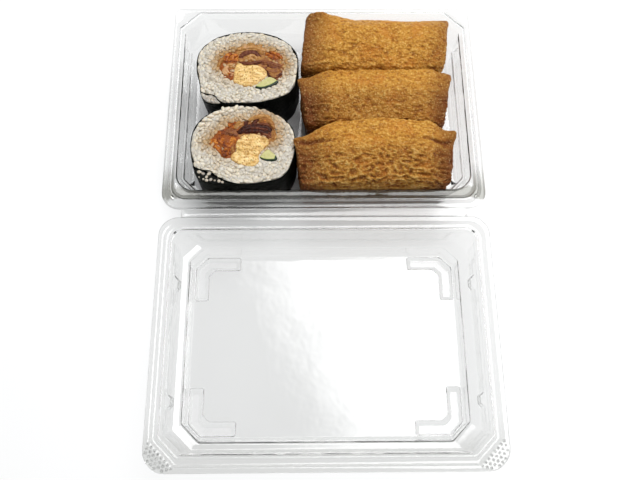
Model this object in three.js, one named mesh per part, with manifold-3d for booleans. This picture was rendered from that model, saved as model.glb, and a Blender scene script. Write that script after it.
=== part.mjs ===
// A takeaway tray of clear plastic with its hinged lid lying open, and the sushi in it:
// two thick slices of rolled sushi with the cut face up, and three fried tofu pouches.
// Millimetres, +Z up, the hinge line along X at Y = 0, the tray towards +Y, the table at Z = 0.
import * as THREE from 'three';
import { mergeVertices } from 'three/addons/utils/BufferGeometryUtils.js';
import Module from 'manifold-3d';

const wasm = await Module();
wasm.setup();

// ---- Driving dimensions ----

const WIDTH = 158; // of each half, along the hinge
const DEPTH = 117; // of each half, away from the hinge
const RIM_HEIGHT = 26; // of both flanges above the table
const SHEET = 0.5; // thickness of the formed plastic
const HINGE_HALF = 2.2; // from the hinge line to each flange
const CORNER_STEPS = 6; // straight facets that turn one corner

const FOOD_FLOOR = SHEET + 0.2; // food rests just above the tray's floor
const CLEARANCE = 0.35; // between a filling and the rice round it
const NORI = 0.5; // thickness of the seaweed sheet
const ROLL_STEPS = 40; // facets round a roll
const GRAIN = { length: 3.0, width: 1.25, height: 1.1 }; // half sizes of a cooked grain
const GRAIN_PITCH = 3.7; // least distance between two grains' middles

// ---- Solids and meshes ----

function solidOf(geometry) {
  const bare = geometry.clone();
  bare.deleteAttribute('normal');
  bare.deleteAttribute('uv');
  const merged = mergeVertices(bare, 1e-4);
  const triVerts = new Uint32Array(merged.index.array);
  const vertProperties = new Float32Array(merged.attributes.position.array);
  return new wasm.Manifold(new wasm.Mesh({ numProp: 3, vertProperties, triVerts }));
}

function geometryOf(solid) {
  const mesh = solid.getMesh();
  const geometry = new THREE.BufferGeometry();
  geometry.setAttribute('position', new THREE.BufferAttribute(mesh.vertProperties, 3));
  geometry.setIndex(new THREE.BufferAttribute(mesh.triVerts, 1));
  geometry.computeVertexNormals();
  return geometry;
}

function largestBody(solid) {
  return solid.decompose().reduce((a, b) => (b.volume() > a.volume() ? b : a));
}

function named(name, solid, material) {
  const mesh = new THREE.Mesh(geometryOf(solid), material);
  mesh.name = name;
  return mesh;
}

// A prism standing on an outline of Vector2 points, from one height to another.
function prism(outline, bottom, top) {
  const geometry = new THREE.ExtrudeGeometry(new THREE.Shape(outline), {
    depth: top - bottom,
    bevelEnabled: false,
  });
  return solidOf(geometry.translate(0, 0, bottom));
}

function block(x0, x1, y0, y1, z0, z1) {
  const geometry = new THREE.BoxGeometry(x1 - x0, y1 - y0, z1 - z0);
  return solidOf(geometry.translate((x0 + x1) / 2, (y0 + y1) / 2, (z0 + z1) / 2));
}

// A repeatable stream of numbers from 0 to 1.
function randomStream(seed) {
  let state = seed;
  return () => {
    state = (state * 1664525 + 1013904223) % 4294967296;
    return state / 4294967296;
  };
}

// ---- Formed plastic halves ----

// Each step of a section is its inset from the flange's edge, its height, and the cuts of
// its corners near the hinge and far from it. An arc of 1 rounds a corner, 0 cuts it straight.
// hingeInset is the inset on the hinge side, where it is wider than on the other three.
const traySection = [
  { inset: 0, height: RIM_HEIGHT, nearCut: 9, farCut: 4, farArc: 1 },
  { inset: 3.0, height: RIM_HEIGHT, nearCut: 7.5, farCut: 10.5 },
  { inset: 3.3, height: RIM_HEIGHT + 2.2, nearCut: 7.3, farCut: 10.3 },
  { inset: 5.0, height: RIM_HEIGHT + 2.2, nearCut: 6.4, farCut: 9.3 },
  { inset: 5.4, height: RIM_HEIGHT - 0.6, nearCut: 6.2, farCut: 9.1 },
  { inset: 5.9, height: RIM_HEIGHT - 0.9, hingeInset: 9.8, nearCut: 8, farCut: 8.8 },
  { inset: 6.6, height: 12.6, hingeInset: 10.1, nearCut: 11, nearArc: 0.3, farCut: 10 },
  { inset: 7.2, height: 12.0, hingeInset: 10.4, nearCut: 12, nearArc: 0, farCut: 10 },
  { inset: 7.7, height: 1.6, hingeInset: 10.7, nearCut: 12, nearArc: 0, farCut: 10 },
  { inset: 8.6, height: SHEET, hingeInset: 11.1, nearCut: 12, nearArc: 0, farCut: 10 },
];

const lidSection = [
  { inset: 0, height: RIM_HEIGHT, nearCut: 9, farCut: 10, farArc: 1 },
  { inset: 2.4, height: RIM_HEIGHT, nearCut: 7.8, farCut: 10.8 },
  { inset: 2.7, height: RIM_HEIGHT - 3.2, nearCut: 7.6, farCut: 10.6 },
  { inset: 5.9, height: RIM_HEIGHT - 3.2, nearCut: 6, farCut: 8.8 },
  { inset: 6.3, height: RIM_HEIGHT - 1.0, nearCut: 5.8, farCut: 8.5 },
  { inset: 7.3, height: RIM_HEIGHT - 1.0, nearCut: 5.4, farCut: 8 },
  { inset: 9.0, height: 13.0, nearCut: 8, nearArc: 0, farCut: 9 },
  { inset: 11.6, height: 12.4, nearCut: 8, nearArc: 0, farCut: 9 },
  { inset: 13.9, height: 3.8, nearCut: 7, nearArc: 0, farCut: 7 },
  { inset: 14.6, height: 3.1, nearCut: 6, nearArc: 0, farCut: 6 },
];

// The points of one corner, from one straight side to the next. fromSide and toSide are the
// directions from the corner along the sides that meet there.
function cornerPoints(corner, fromSide, toSide, cut, arc) {
  return Array.from({ length: CORNER_STEPS + 1 }, (_, i) => {
    const part = i / CORNER_STEPS;
    const turn = (part * Math.PI) / 2;
    const start = THREE.MathUtils.lerp(1 - part, 1 - Math.sin(turn), arc);
    const end = THREE.MathUtils.lerp(part, 1 - Math.cos(turn), arc);
    return corner
      .clone()
      .addScaledVector(fromSide, cut * start)
      .addScaledVector(toSide, cut * end);
  });
}

// The outline of one step of a half, anticlockwise from above. side is 1 for the tray,
// which lies towards +Y, and -1 for the lid.
function stepOutline(side, step) {
  const x = WIDTH / 2 - step.inset;
  const near = HINGE_HALF + (step.hingeInset ?? step.inset);
  const far = HINGE_HALF + DEPTH - step.inset;
  const nearArc = step.nearArc ?? 1;
  const farArc = step.farArc ?? 0;
  const right = new THREE.Vector2(1, 0);
  const left = new THREE.Vector2(-1, 0);
  const out = new THREE.Vector2(0, side);
  const back = new THREE.Vector2(0, -side);
  const points = [
    ...cornerPoints(new THREE.Vector2(-x, side * near), out, right, step.nearCut, nearArc),
    ...cornerPoints(new THREE.Vector2(x, side * near), left, out, step.nearCut, nearArc),
    ...cornerPoints(new THREE.Vector2(x, side * far), back, left, step.farCut, farArc),
    ...cornerPoints(new THREE.Vector2(-x, side * far), right, back, step.farCut, farArc),
  ];
  return side > 0 ? points : points.reverse();
}

// The underside of a section: each step moved square to the sheet by its thickness.
function undersideOf(section, insetName) {
  const points = section.map((s) => new THREE.Vector2(s[insetName] ?? s.inset, s.height));
  return points.map((point, i) => {
    const before = points[Math.max(i - 1, 0)];
    const after = points[Math.min(i + 1, points.length - 1)];
    const into = point.clone().sub(before).normalize();
    const onto = after.clone().sub(point).normalize();
    if (i === 0) into.copy(onto);
    if (i === points.length - 1) onto.set(1, 0);
    const normalA = new THREE.Vector2(into.y, -into.x);
    const normalB = new THREE.Vector2(onto.y, -onto.x);
    const miter = normalA.clone().add(normalB).normalize();
    return point.clone().addScaledVector(miter, SHEET / miter.dot(normalB));
  });
}

function underSection(section) {
  const sides = undersideOf(section, 'inset');
  const hinge = undersideOf(section, 'hingeInset');
  return section.map((step, i) => ({
    ...step,
    inset: sides[i].x,
    hingeInset: hinge[i].x,
    height: sides[i].y,
  }));
}

// A closed half: the outlines of the underside from the floor to the edge of the flange,
// then those of the upper face back to the floor, joined by strips and closed by two floors.
function formedHalf(side, section) {
  const steps = [...underSection(section).reverse(), ...section];
  const outlines = steps.map((step) =>
    stepOutline(side, step).map((p) => new THREE.Vector3(p.x, p.y, step.height)));
  const count = outlines[0].length;
  const points = outlines.flat();
  const faces = [];
  for (let ring = 0; ring + 1 < outlines.length; ring++) {
    for (let i = 0; i < count; i++) {
      const a = ring * count + i;
      const b = ring * count + ((i + 1) % count);
      faces.push(a, b, b + count, a, b + count, a + count);
    }
  }
  const middle = new THREE.Vector3(0, side * (HINGE_HALF + DEPTH / 2), 0);
  const under = points.push(middle.clone().setZ(outlines[0][0].z)) - 1;
  const upper = points.push(middle.clone().setZ(outlines.at(-1)[0].z)) - 1;
  const last = (outlines.length - 1) * count;
  for (let i = 0; i < count; i++) {
    const next = (i + 1) % count;
    faces.push(under, next, i);
    faces.push(upper, last + i, last + next);
  }
  const geometry = new THREE.BufferGeometry().setFromPoints(points);
  geometry.setIndex(faces);
  return solidOf(geometry);
}

// The half of the hinge web that belongs to one half: a strip that dips towards the hinge line.
const HINGE_LENGTH = 126;
const HINGE_DIP = 1.0; // of the web below the flanges, at the hinge line
const HINGE_SLIT = 0.25; // half the gap that the bend leaves between the two strips

function hingeStrip(side) {
  const low = RIM_HEIGHT - HINGE_DIP;
  const rooted = HINGE_HALF + 1;
  const profile = [
    [HINGE_SLIT, low - SHEET],
    [HINGE_HALF, RIM_HEIGHT - SHEET + 0.05],
    [rooted, RIM_HEIGHT - SHEET + 0.1],
    [rooted, RIM_HEIGHT - 0.1],
    [HINGE_HALF - 0.3, RIM_HEIGHT - 0.05],
    [HINGE_SLIT, low],
  ].map(([y, z]) => new THREE.Vector2(y, z));
  const geometry = new THREE.ExtrudeGeometry(new THREE.Shape(profile), {
    depth: HINGE_LENGTH,
    bevelEnabled: false,
  });
  // The profile's X and Y become Y and Z, and its depth runs along X.
  const turn = new THREE.Matrix4().makeBasis(
    new THREE.Vector3(0, 1, 0), new THREE.Vector3(0, 0, 1), new THREE.Vector3(1, 0, 0));
  geometry.applyMatrix4(turn).translate(-HINGE_LENGTH / 2, 0, 0);
  if (side < 0) geometry.rotateZ(Math.PI);
  return solidOf(geometry);
}

// The lid stands on four hollow L-shaped feet in the corners of its panel.
const FOOT = { arm: 22, breadth: 8.5, cut: 6, innerCut: 3, outset: 0.2 };
const PANEL_INSET = lidSection.at(-1).inset;
const PANEL_TOP = lidSection.at(-1).height;

// An L with its outer corner at the panel's corner (cornerX, cornerY), its arms running
// inwards, and every edge moved in by shrink.
function footOutline(signX, signY, shrink) {
  const corner = new THREE.Vector2(
    signX * (WIDTH / 2 - PANEL_INSET + FOOT.outset),
    -(HINGE_HALF + DEPTH / 2) + signY * (DEPTH / 2 - PANEL_INSET + FOOT.outset));
  const near = shrink;
  const thick = FOOT.breadth - shrink;
  const long = FOOT.arm - shrink;
  const cut = FOOT.cut - shrink * 0.6;
  const inner = FOOT.innerCut;
  const local = [
    [near + cut, near], [long, near], [long, thick], [thick + inner, thick],
    [thick, thick + inner], [thick, long], [near, long], [near, near + cut],
  ];
  const points = local.map(([a, b]) =>
    new THREE.Vector2(corner.x - signX * a, corner.y - signY * b));
  return signX * signY > 0 ? points : points.reverse();
}

function withFeet(lid) {
  let solid = lid;
  for (const signX of [-1, 1]) {
    for (const signY of [-1, 1]) {
      solid = solid.add(prism(footOutline(signX, signY, 0), 0, PANEL_TOP - 0.1));
    }
  }
  for (const signX of [-1, 1]) {
    for (const signY of [-1, 1]) {
      const hollow = footOutline(signX, signY, 0.7 + SHEET);
      solid = solid.subtract(prism(hollow, SHEET, PANEL_TOP + 1));
    }
  }
  return solid;
}

// Small upright lugs in the lid's side walls keep stacked lids apart.
const LUG = { length: 8, out: 2.2, bottom: 12.2, top: 20, fromEnd: 31 };

function withLugs(lid) {
  const middle = -(HINGE_HALF + DEPTH / 2);
  const wall = WIDTH / 2 - 8.2;
  let solid = lid;
  for (const signX of [-1, 1]) {
    for (const signY of [-1, 1]) {
      const y = middle + signY * (DEPTH / 2 - LUG.fromEnd);
      const outer = signX * wall;
      const inner = signX * (wall - LUG.out);
      solid = solid.add(block(Math.min(outer, inner), Math.max(outer, inner),
        y - LUG.length / 2, y + LUG.length / 2, LUG.bottom, LUG.top));
    }
  }
  return solid;
}

// ---- Rolls ----

// Each roll's place, half sizes, the bulges where it is pressed out, its sheet's loose end, and
// its fillings. A bulge is an angle round the roll in degrees and how far out it goes. A
// filling is a smooth closed curve through a few places measured from the roll's middle.
const rolls = [
  {
    name: 'back',
    x: -39.2, y: 80.9, halfX: 26.6, halfY: 21.9, top: 28.6, seed: 11, phase: 0.4,
    bulges: [[230, 4.4], [325, 1.9]],
    seam: [[-6, -22.4], [-11, -21.4], [-14.2, -19.4], [-16, -17]],
    fillings: {
      egg: [[-6.2, -0.4], [-1.8, 0.9], [7.6, -0.4], [11.4, -4.6], [12.6, -8.4], [4.4, -10.9],
        [-3.6, -11.2], [-6.9, -6.6]],
      cucumber: [[5.8, -11.7], [13.4, -9.4], [16.2, -9.8], [14.6, -11.8], [10.2, -13.2],
        [6.4, -13.2]],
      carrot_a: [[-14.8, 1.2], [-11.4, 1.6], [-8.2, -2.2], [-8.6, -7.2], [-11.2, -6.2],
        [-13.2, -2.4]],
      carrot_b: [[-9.6, 6.8], [-6.4, 8.2], [-4.6, 5.6], [-6.2, 2.8], [-9.2, 3]],
      gourd_a: [[-4.2, 9.6], [1.6, 10.6], [3.6, 6.2], [1, 2.4], [-3.6, 3]],
      gourd_b: [[5, 9.6], [8.4, 7.4], [9.4, 2.6], [6.2, 1.2], [4.4, 4.8]],
      gourd_c: [[10.6, 6.8], [17, 6], [17.8, 3.4], [11, 2.8]],
      gourd_d: [[11, 1.4], [18.4, 1.6], [19, -3], [16.6, -7.6], [13.6, -6.4], [11.6, -2]],
    },
  },
  {
    name: 'front',
    x: -40.3, y: 36.0, halfX: 26.5, halfY: 22.3, top: 28.2, seed: 29, phase: 2.1,
    bulges: [[228, 2.4], [315, 1.6]],
    seam: [[-2.5, -22], [-9.2, -19.4], [-13.5, -17], [-15.4, -14.6]],
    fillings: {
      egg: [[-1.2, 4.2], [4, 5.2], [9.6, 3], [11.6, -0.6], [8.4, -4.8], [7.2, -10.6],
        [-0.4, -10.8], [-5, -7], [-2.8, -2]],
      cucumber: [[9.4, -6.2], [12, -3.4], [15, -3], [17.2, -5.6], [16.8, -8.4], [12, -9],
        [9.2, -8.4]],
      carrot_a: [[-17, 2.4], [-12.4, 3], [-11, 0.4], [-12.4, -2], [-16, -1.4]],
      carrot_b: [[-13.4, 8.8], [-9, 8.8], [-8.2, 6], [-10.6, 4.6], [-13.4, 6]],
      carrot_c: [[-7.6, 12.6], [-3.4, 12.8], [-2.8, 10], [-5.4, 8.4], [-7.8, 9.8]],
      carrot_d: [[-9.6, 3.4], [-6.4, 5.4], [-3.8, 3.6], [-4.4, 0.4], [-8.4, -0.8]],
      carrot_e: [[-11, -3], [-7.8, -2.4], [-6.8, -5], [-9, -7.2], [-11.4, -5.6]],
      gourd_a: [[-1.8, 7.8], [1.4, 10.2], [7.6, 10.6], [7.6, 7.2], [1.6, 6.6], [-1.4, 5.6]],
      gourd_b: [[9.2, 10.6], [13.8, 9.4], [16.2, 5], [14.4, 2], [11.2, 4.8], [9, 6.8]],
      gourd_c: [[3.8, 14.8], [9, 16], [13.4, 15], [13.6, 12.4], [8.6, 12.2], [4.2, 12.2]],
      gourd_d: [[0.6, -12.2], [4.6, -12.4], [4, -14.2], [0.2, -14]],
    },
  },
];

const BULGE_SPREAD = 18; // degrees from a bulge's middle to where it has mostly faded
const SEAM_TAIL = 0.5; // thickness of the sheet's inner end
const EGG_PROUD = 0.9; // how far the egg stands above the rice
const FILLING_PROUD = 0.5;
const GRAIN_CLEAR = 1.0; // from a grain's middle to the nearest filling
const GRAIN_LIFT = 0.25; // of a grain's middle above the rice's core

// How far a roll is pressed out at an angle.
function bulgeAt(roll, angle) {
  const fade = (at) => Math.exp(-(((THREE.MathUtils.radToDeg(angle) - at) / BULGE_SPREAD) ** 2));
  return roll.bulges.reduce((sum, [at, out]) => sum + out * fade(at), 0);
}

// A roll's outline at an inset: a squarish oval with slow waves and bulges.
function rollOutline(roll, inset) {
  const squareness = 2 / 2.25;
  return Array.from({ length: ROLL_STEPS }, (_, i) => {
    const angle = (i / ROLL_STEPS) * Math.PI * 2;
    const c = Math.cos(angle);
    const s = Math.sin(angle);
    const wave = 1 + 0.012 * Math.sin(3 * angle + roll.phase) + 0.008 * Math.sin(5 * angle);
    const reach = (half) => (half * wave + bulgeAt(roll, angle) - inset);
    return new THREE.Vector2(
      roll.x + reach(roll.halfX) * Math.sign(c) * Math.abs(c) ** squareness,
      roll.y + reach(roll.halfY) * Math.sign(s) * Math.abs(s) ** squareness);
  });
}

// A smooth closed outline through a filling's places, in the tray's frame.
function fillingOutline(roll, places) {
  const curve = new THREE.CatmullRomCurve3(
    places.map(([x, y]) => new THREE.Vector3(roll.x + x, roll.y + y, 0)), true, 'centripetal');
  const points = curve.getPoints(places.length * 2).slice(0, -1);
  const flat = points.map((p) => new THREE.Vector2(p.x, p.y));
  return THREE.ShapeUtils.isClockWise(flat) ? flat.reverse() : flat;
}

// An anticlockwise outline moved outwards by a distance.
function grown(outline, distance) {
  return outline.map((point, i) => {
    const before = outline[(i + outline.length - 1) % outline.length];
    const after = outline[(i + 1) % outline.length];
    const along = after.clone().sub(before).normalize();
    return point.clone().add(new THREE.Vector2(along.y, -along.x).multiplyScalar(distance));
  });
}

// The strip of sheet that runs from the roll's skin into the rice, as a band round a line.
function seamOutline(roll, spread) {
  const line = roll.seam.map(([x, y]) => new THREE.Vector2(roll.x + x, roll.y + y));
  const half = SEAM_TAIL / 2 + spread;
  const sides = line.map((point, i) => {
    const before = line[Math.max(i - 1, 0)];
    const after = line[Math.min(i + 1, line.length - 1)];
    const along = after.clone().sub(before).normalize();
    const normal = new THREE.Vector2(-along.y, along.x);
    const onward = i === line.length - 1 ? spread : 0;
    const place = point.clone().addScaledVector(along, onward);
    return [place.clone().addScaledVector(normal, half),
      place.clone().addScaledVector(normal, -half)];
  });
  const band = [...sides.map((s) => s[0]), ...sides.map((s) => s[1]).reverse()];
  return THREE.ShapeUtils.isClockWise(band) ? band.reverse() : band;
}

function noriOf(roll) {
  const tall = roll.top - 0.3;
  const skin = prism(rollOutline(roll, 0), FOOD_FLOOR, tall)
    .subtract(prism(rollOutline(roll, NORI), FOOD_FLOOR - 1, tall + 1));
  const tail = prism(seamOutline(roll, 0), FOOD_FLOOR, tall)
    .intersect(prism(rollOutline(roll, NORI / 2), FOOD_FLOOR - 1, tall + 1));
  return skin.add(tail);
}

// Whether a point lies inside an outline, by the sides that a ray towards +X crosses.
function isInside(outline, x, y) {
  return outline.reduce((inside, a, i) => {
    const b = outline[(i + 1) % outline.length];
    const crosses = (a.y > y) !== (b.y > y) && x < ((b.x - a.x) * (y - a.y)) / (b.y - a.y) + a.x;
    return crosses ? !inside : inside;
  }, false);
}

// Places for the grains on a roll's cut face, drawn at random and kept apart, none of them
// over a filling.
function grainPlaces(roll, random) {
  const places = [];
  const tries = 1500;
  const taken = Object.values(roll.fillings)
    .map((filling) => grown(fillingOutline(roll, filling), GRAIN_CLEAR));
  for (let i = 0; i < tries; i++) {
    const angle = random() * Math.PI * 2;
    const reach = Math.sqrt(random());
    const x = Math.cos(angle) * reach * (roll.halfX - 2.2);
    const y = Math.sin(angle) * reach * (roll.halfY - 2.2);
    const apart = places.every((p) => Math.hypot(p.x - x, p.y - y) > GRAIN_PITCH);
    const clear = !taken.some((outline) => isInside(outline, roll.x + x, roll.y + y));
    if (apart && clear) places.push({ x, y, turn: random() * Math.PI, tilt: (random() - 0.5) * 0.5 });
  }
  return places;
}

function grainSolid(roll, place) {
  const geometry = new THREE.IcosahedronGeometry(1, 0);
  geometry.scale(GRAIN.length, GRAIN.width, GRAIN.height);
  geometry.rotateY(place.tilt).rotateZ(place.turn);
  geometry.translate(roll.x + place.x, roll.y + place.y, roll.top + GRAIN_LIFT);
  return solidOf(geometry);
}

// Rice inside the sheet, with grains over its cut face and a well for each filling.
function riceOf(roll) {
  const skinGap = NORI + 0.3;
  const tallest = roll.top + 10;
  const wells = Object.values(roll.fillings)
    .map((places) => grown(fillingOutline(roll, places), CLEARANCE))
    .map((outline) => prism(outline, FOOD_FLOOR - 1, tallest))
    .reduce((a, b) => a.add(b));
  const cleared = wells.add(prism(seamOutline(roll, 0.3), FOOD_FLOOR - 1, tallest));
  const random = randomStream(roll.seed);
  let heap = prism(rollOutline(roll, skinGap), FOOD_FLOOR, roll.top);
  for (const place of grainPlaces(roll, random)) {
    heap = heap.add(grainSolid(roll, place));
  }
  const inside = prism(rollOutline(roll, skinGap - 0.02), FOOD_FLOOR, tallest);
  return largestBody(heap.intersect(inside).subtract(cleared));
}

// ---- Fried tofu pouches ----

// Each pouch's middle, half sizes, and the pinched corners of its top edge.
const POUCH_BOTTOM = FOOD_FLOOR;
const pouches = [
  { name: 'back', x: 27.4, y: 93.2, halfX: 37.4, halfY: 15.5, height: 36.4, phase: 0.3,
    leftEar: 0.8, rightEar: 0.6, slope: 0.22 },
  { name: 'middle', x: 26.4, y: 61.4, halfX: 37.6, halfY: 15.4, height: 36.2, phase: 2.2,
    leftEar: 1.8, rightEar: 1.8, slope: 0.3 },
  { name: 'front', x: 25.6, y: 29.6, halfX: 38.2, halfY: 15.5, height: 36.6, phase: 4.1,
    leftEar: 1.8, rightEar: 1.4, slope: 0.3 },
];
const POUCH_SEGMENTS = { around: 24, along: 16 };
const POUCH_SQUARENESS = 6;
const POUCH_ARCH = 0.06; // how far its top falls towards the ends, in half heights

// The surface of a pouch in a direction from its middle: a rounded block that slopes down
// at the front, sags to a flat base, and is drawn out at the two ends of its top.
function pouchPoint(pouch, direction) {
  const p = POUCH_SQUARENESS;
  const size = (Math.abs(direction.x) ** p + Math.abs(direction.y) ** p
    + Math.abs(direction.z) ** p) ** (-1 / p);
  const u = direction.x * size;
  let v = direction.y * size;
  let w = direction.z * size;
  const high = Math.max(w, 0);
  const front = THREE.MathUtils.smoothstep(-v, -0.1, 1.1);
  w -= pouch.slope * front * high;
  w -= POUCH_ARCH * high * (1 - Math.cos(u * 2.6));
  v -= 0.05 * Math.sin(u * 3.1 + pouch.phase) * high;
  const ear = u < 0 ? pouch.leftEar : pouch.rightEar;
  const earReach = ear * Math.abs(u) ** 8 * high ** 3 * Math.exp(-((v - 0.2) ** 2) * 2);
  const wave = 0.5 * Math.sin(u * 7 + pouch.phase) * Math.sin(v * 3 + w * 4 + pouch.phase);
  const middle = POUCH_BOTTOM + pouch.height / 2;
  const half = pouch.height / 2;
  return new THREE.Vector3(
    pouch.x + u * (pouch.halfX - 0.4) + Math.sign(u) * earReach + wave * direction.x,
    pouch.y + THREE.MathUtils.clamp(v * pouch.halfY + wave * direction.y,
      -pouch.halfY, pouch.halfY),
    Math.max(middle + w * half + earReach + wave * Math.max(direction.z, 0), POUCH_BOTTOM));
}

function pouchSolid(pouch) {
  const geometry = new THREE.SphereGeometry(1, POUCH_SEGMENTS.around, POUCH_SEGMENTS.along);
  geometry.rotateZ(Math.PI / 2);
  const place = geometry.attributes.position;
  const direction = new THREE.Vector3();
  for (let i = 0; i < place.count; i++) {
    direction.fromBufferAttribute(place, i).normalize();
    const point = pouchPoint(pouch, direction);
    place.setXYZ(i, point.x, point.y, point.z);
  }
  return solidOf(geometry);
}

// ---- Materials ----

const material = (color, roughness) =>
  new THREE.MeshStandardMaterial({ color, roughness, metalness: 0 });
const plastic = material('#e9ecec', 0.08);
const riceWhite = material('#d9d3c6', 0.5);
const noriBlack = material('#15140f', 0.6);
const tofuBrown = material('#b06c26', 0.6);
const fillingFinish = {
  egg: material('#ecbd58', 0.55),
  cucumber: material('#b6c978', 0.35),
  carrot: material('#cf5f1e', 0.45),
  gourd: material('#8a4423', 0.4),
};

// ---- The whole ----

const tray = new THREE.Group();
tray.add(named('tray_shell', formedHalf(1, traySection).add(hingeStrip(1)), plastic));
for (const roll of rolls) {
  tray.add(named(`nori_${roll.name}`, noriOf(roll), noriBlack));
  tray.add(named(`rice_${roll.name}`, riceOf(roll), riceWhite));
  for (const [kind, places] of Object.entries(roll.fillings)) {
    const [food] = kind.split('_');
    const proud = food === 'egg' ? EGG_PROUD : FILLING_PROUD;
    const solid = prism(fillingOutline(roll, places), FOOD_FLOOR, roll.top + proud);
    tray.add(named(`${kind}_${roll.name}`, solid, fillingFinish[food]));
  }
}
for (const pouch of pouches) {
  tray.add(named(`pouch_${pouch.name}`, pouchSolid(pouch), tofuBrown));
}

const lid = new THREE.Group();
const lidHalf = withLugs(withFeet(formedHalf(-1, lidSection)));
lid.add(named('lid_shell', lidHalf.add(hingeStrip(-1)), plastic));

const sushiTray = new THREE.Group();
sushiTray.add(tray, lid);

export default sushiTray;
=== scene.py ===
"""A takeaway tray of clear plastic, its hinged lid lying open, with sushi in it.

Two thick slices of rolled sushi stand with their cut faces up beside three fried tofu pouches.
Places and sizes are millimetres in the frame of the solids; each piece ends up in metres.
"""

import math
import random

import bmesh
import bpy
from mathutils import Euler, Matrix, Vector, noise


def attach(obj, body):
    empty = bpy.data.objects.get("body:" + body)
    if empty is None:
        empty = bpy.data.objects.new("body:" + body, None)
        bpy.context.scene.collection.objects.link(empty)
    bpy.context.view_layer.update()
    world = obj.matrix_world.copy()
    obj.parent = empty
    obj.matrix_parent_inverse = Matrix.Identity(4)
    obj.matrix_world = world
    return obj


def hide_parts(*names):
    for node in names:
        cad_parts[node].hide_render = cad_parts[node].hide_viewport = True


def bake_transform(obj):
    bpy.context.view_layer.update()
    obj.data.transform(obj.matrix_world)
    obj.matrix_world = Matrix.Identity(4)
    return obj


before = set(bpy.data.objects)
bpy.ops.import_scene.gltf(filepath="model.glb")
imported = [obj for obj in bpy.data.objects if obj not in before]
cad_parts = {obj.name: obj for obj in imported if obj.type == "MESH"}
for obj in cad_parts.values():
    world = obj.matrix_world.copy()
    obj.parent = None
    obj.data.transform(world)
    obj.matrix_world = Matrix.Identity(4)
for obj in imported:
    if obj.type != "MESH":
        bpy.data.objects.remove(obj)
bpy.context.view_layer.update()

MM = 0.001

# ---- Driving sizes, as in the solids ----

WIDTH = 158.0
DEPTH = 117.0
RIM_HEIGHT = 26.0
SHEET = 0.5
HINGE_HALF = 2.2
FOOD_FLOOR = 0.7
THIN_SHEET = 0.35  # the seaweed, and the strip at the hinge


# ---- Camera and light ----

def soften_edge(lamp):
    """Lets a lamp's light fade out towards its left edge."""
    lamp.use_nodes = True
    tree = lamp.node_tree
    place = tree.nodes.new("ShaderNodeNewGeometry")
    apart = tree.nodes.new("ShaderNodeSeparateXYZ")
    fade = tree.nodes.new("ShaderNodeMapRange")
    fade.interpolation_type = "SMOOTHSTEP"
    fade.inputs["From Max"].default_value = 0.2
    tree.links.new(place.outputs["Parametric"], apart.inputs["Vector"])
    tree.links.new(apart.outputs["X"], fade.inputs["Value"])
    tree.links.new(fade.outputs["Result"], tree.nodes["Emission"].inputs["Strength"])


def studio():
    """The camera high over the lid, one broad soft lamp up to the right, a soft pale world light and the
    render's settings.
    """
    scene = bpy.context.scene
    camera = bpy.data.objects.new("camera", bpy.data.cameras.new("camera"))
    camera.data.lens = 39.375
    camera.data.sensor_width = 36.0
    camera.data.clip_start = 0.01
    turn = (Matrix.Rotation(math.radians(-1.75), 4, "Z")
            @ Matrix.Rotation(math.radians(20.08), 4, "X")
            @ Matrix.Rotation(math.radians(1.38), 4, "Z"))
    camera.matrix_world = Matrix.Translation((-0.00565, -0.12835, 0.33886)) @ turn
    scene.collection.objects.link(camera)
    scene.camera = camera

    lamp = bpy.data.objects.new("soft_lamp", bpy.data.lights.new("soft_lamp", "AREA"))
    lamp.data.shape = "RECTANGLE"
    lamp.data.size = 1.0
    lamp.data.size_y = 1.6
    lamp.data.energy = 23.0
    lamp.location = (0.287, 0.48, 1.2)
    lamp.rotation_euler = (0.0, 0.0, math.radians(24.6))
    soften_edge(lamp.data)
    scene.collection.objects.link(lamp)

    world = bpy.data.worlds.new("studio")
    world.use_nodes = True
    world.node_tree.nodes["Background"].inputs["Color"].default_value = (0.98, 0.99, 1.0, 1.0)
    world.node_tree.nodes["Background"].inputs["Strength"].default_value = 0.42
    scene.world = world

    scene.view_settings.view_transform = "Standard"
    scene.cycles.max_bounces = 20
    scene.cycles.transmission_bounces = 20
    scene.cycles.transparent_max_bounces = 24
    scene.cycles.glossy_bounces = 8
    scene.cycles.diffuse_bounces = 5
    # Light passes the clear sheet by its shadow rays alone, so it isn't counted twice.
    scene.cycles.caustics_reflective = False
    scene.cycles.caustics_refractive = False


# ---- Finishes ----

class Wire:
    """A value on its way between two nodes of a finish. Arithmetic on it adds Math nodes."""

    def __init__(self, finish, socket):
        self.finish = finish
        self.socket = socket

    def math(self, operation, *values):
        sockets = dict(enumerate(values))
        return self.finish.node("ShaderNodeMath", {"operation": operation}, sockets)

    def __add__(self, other):
        return self.math("ADD", self, other)

    __radd__ = __add__

    def __sub__(self, other):
        return self.math("SUBTRACT", self, other)

    def __rsub__(self, other):
        return self.math("SUBTRACT", other, self)

    def __mul__(self, other):
        return self.math("MULTIPLY", self, other)

    __rmul__ = __mul__


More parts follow.
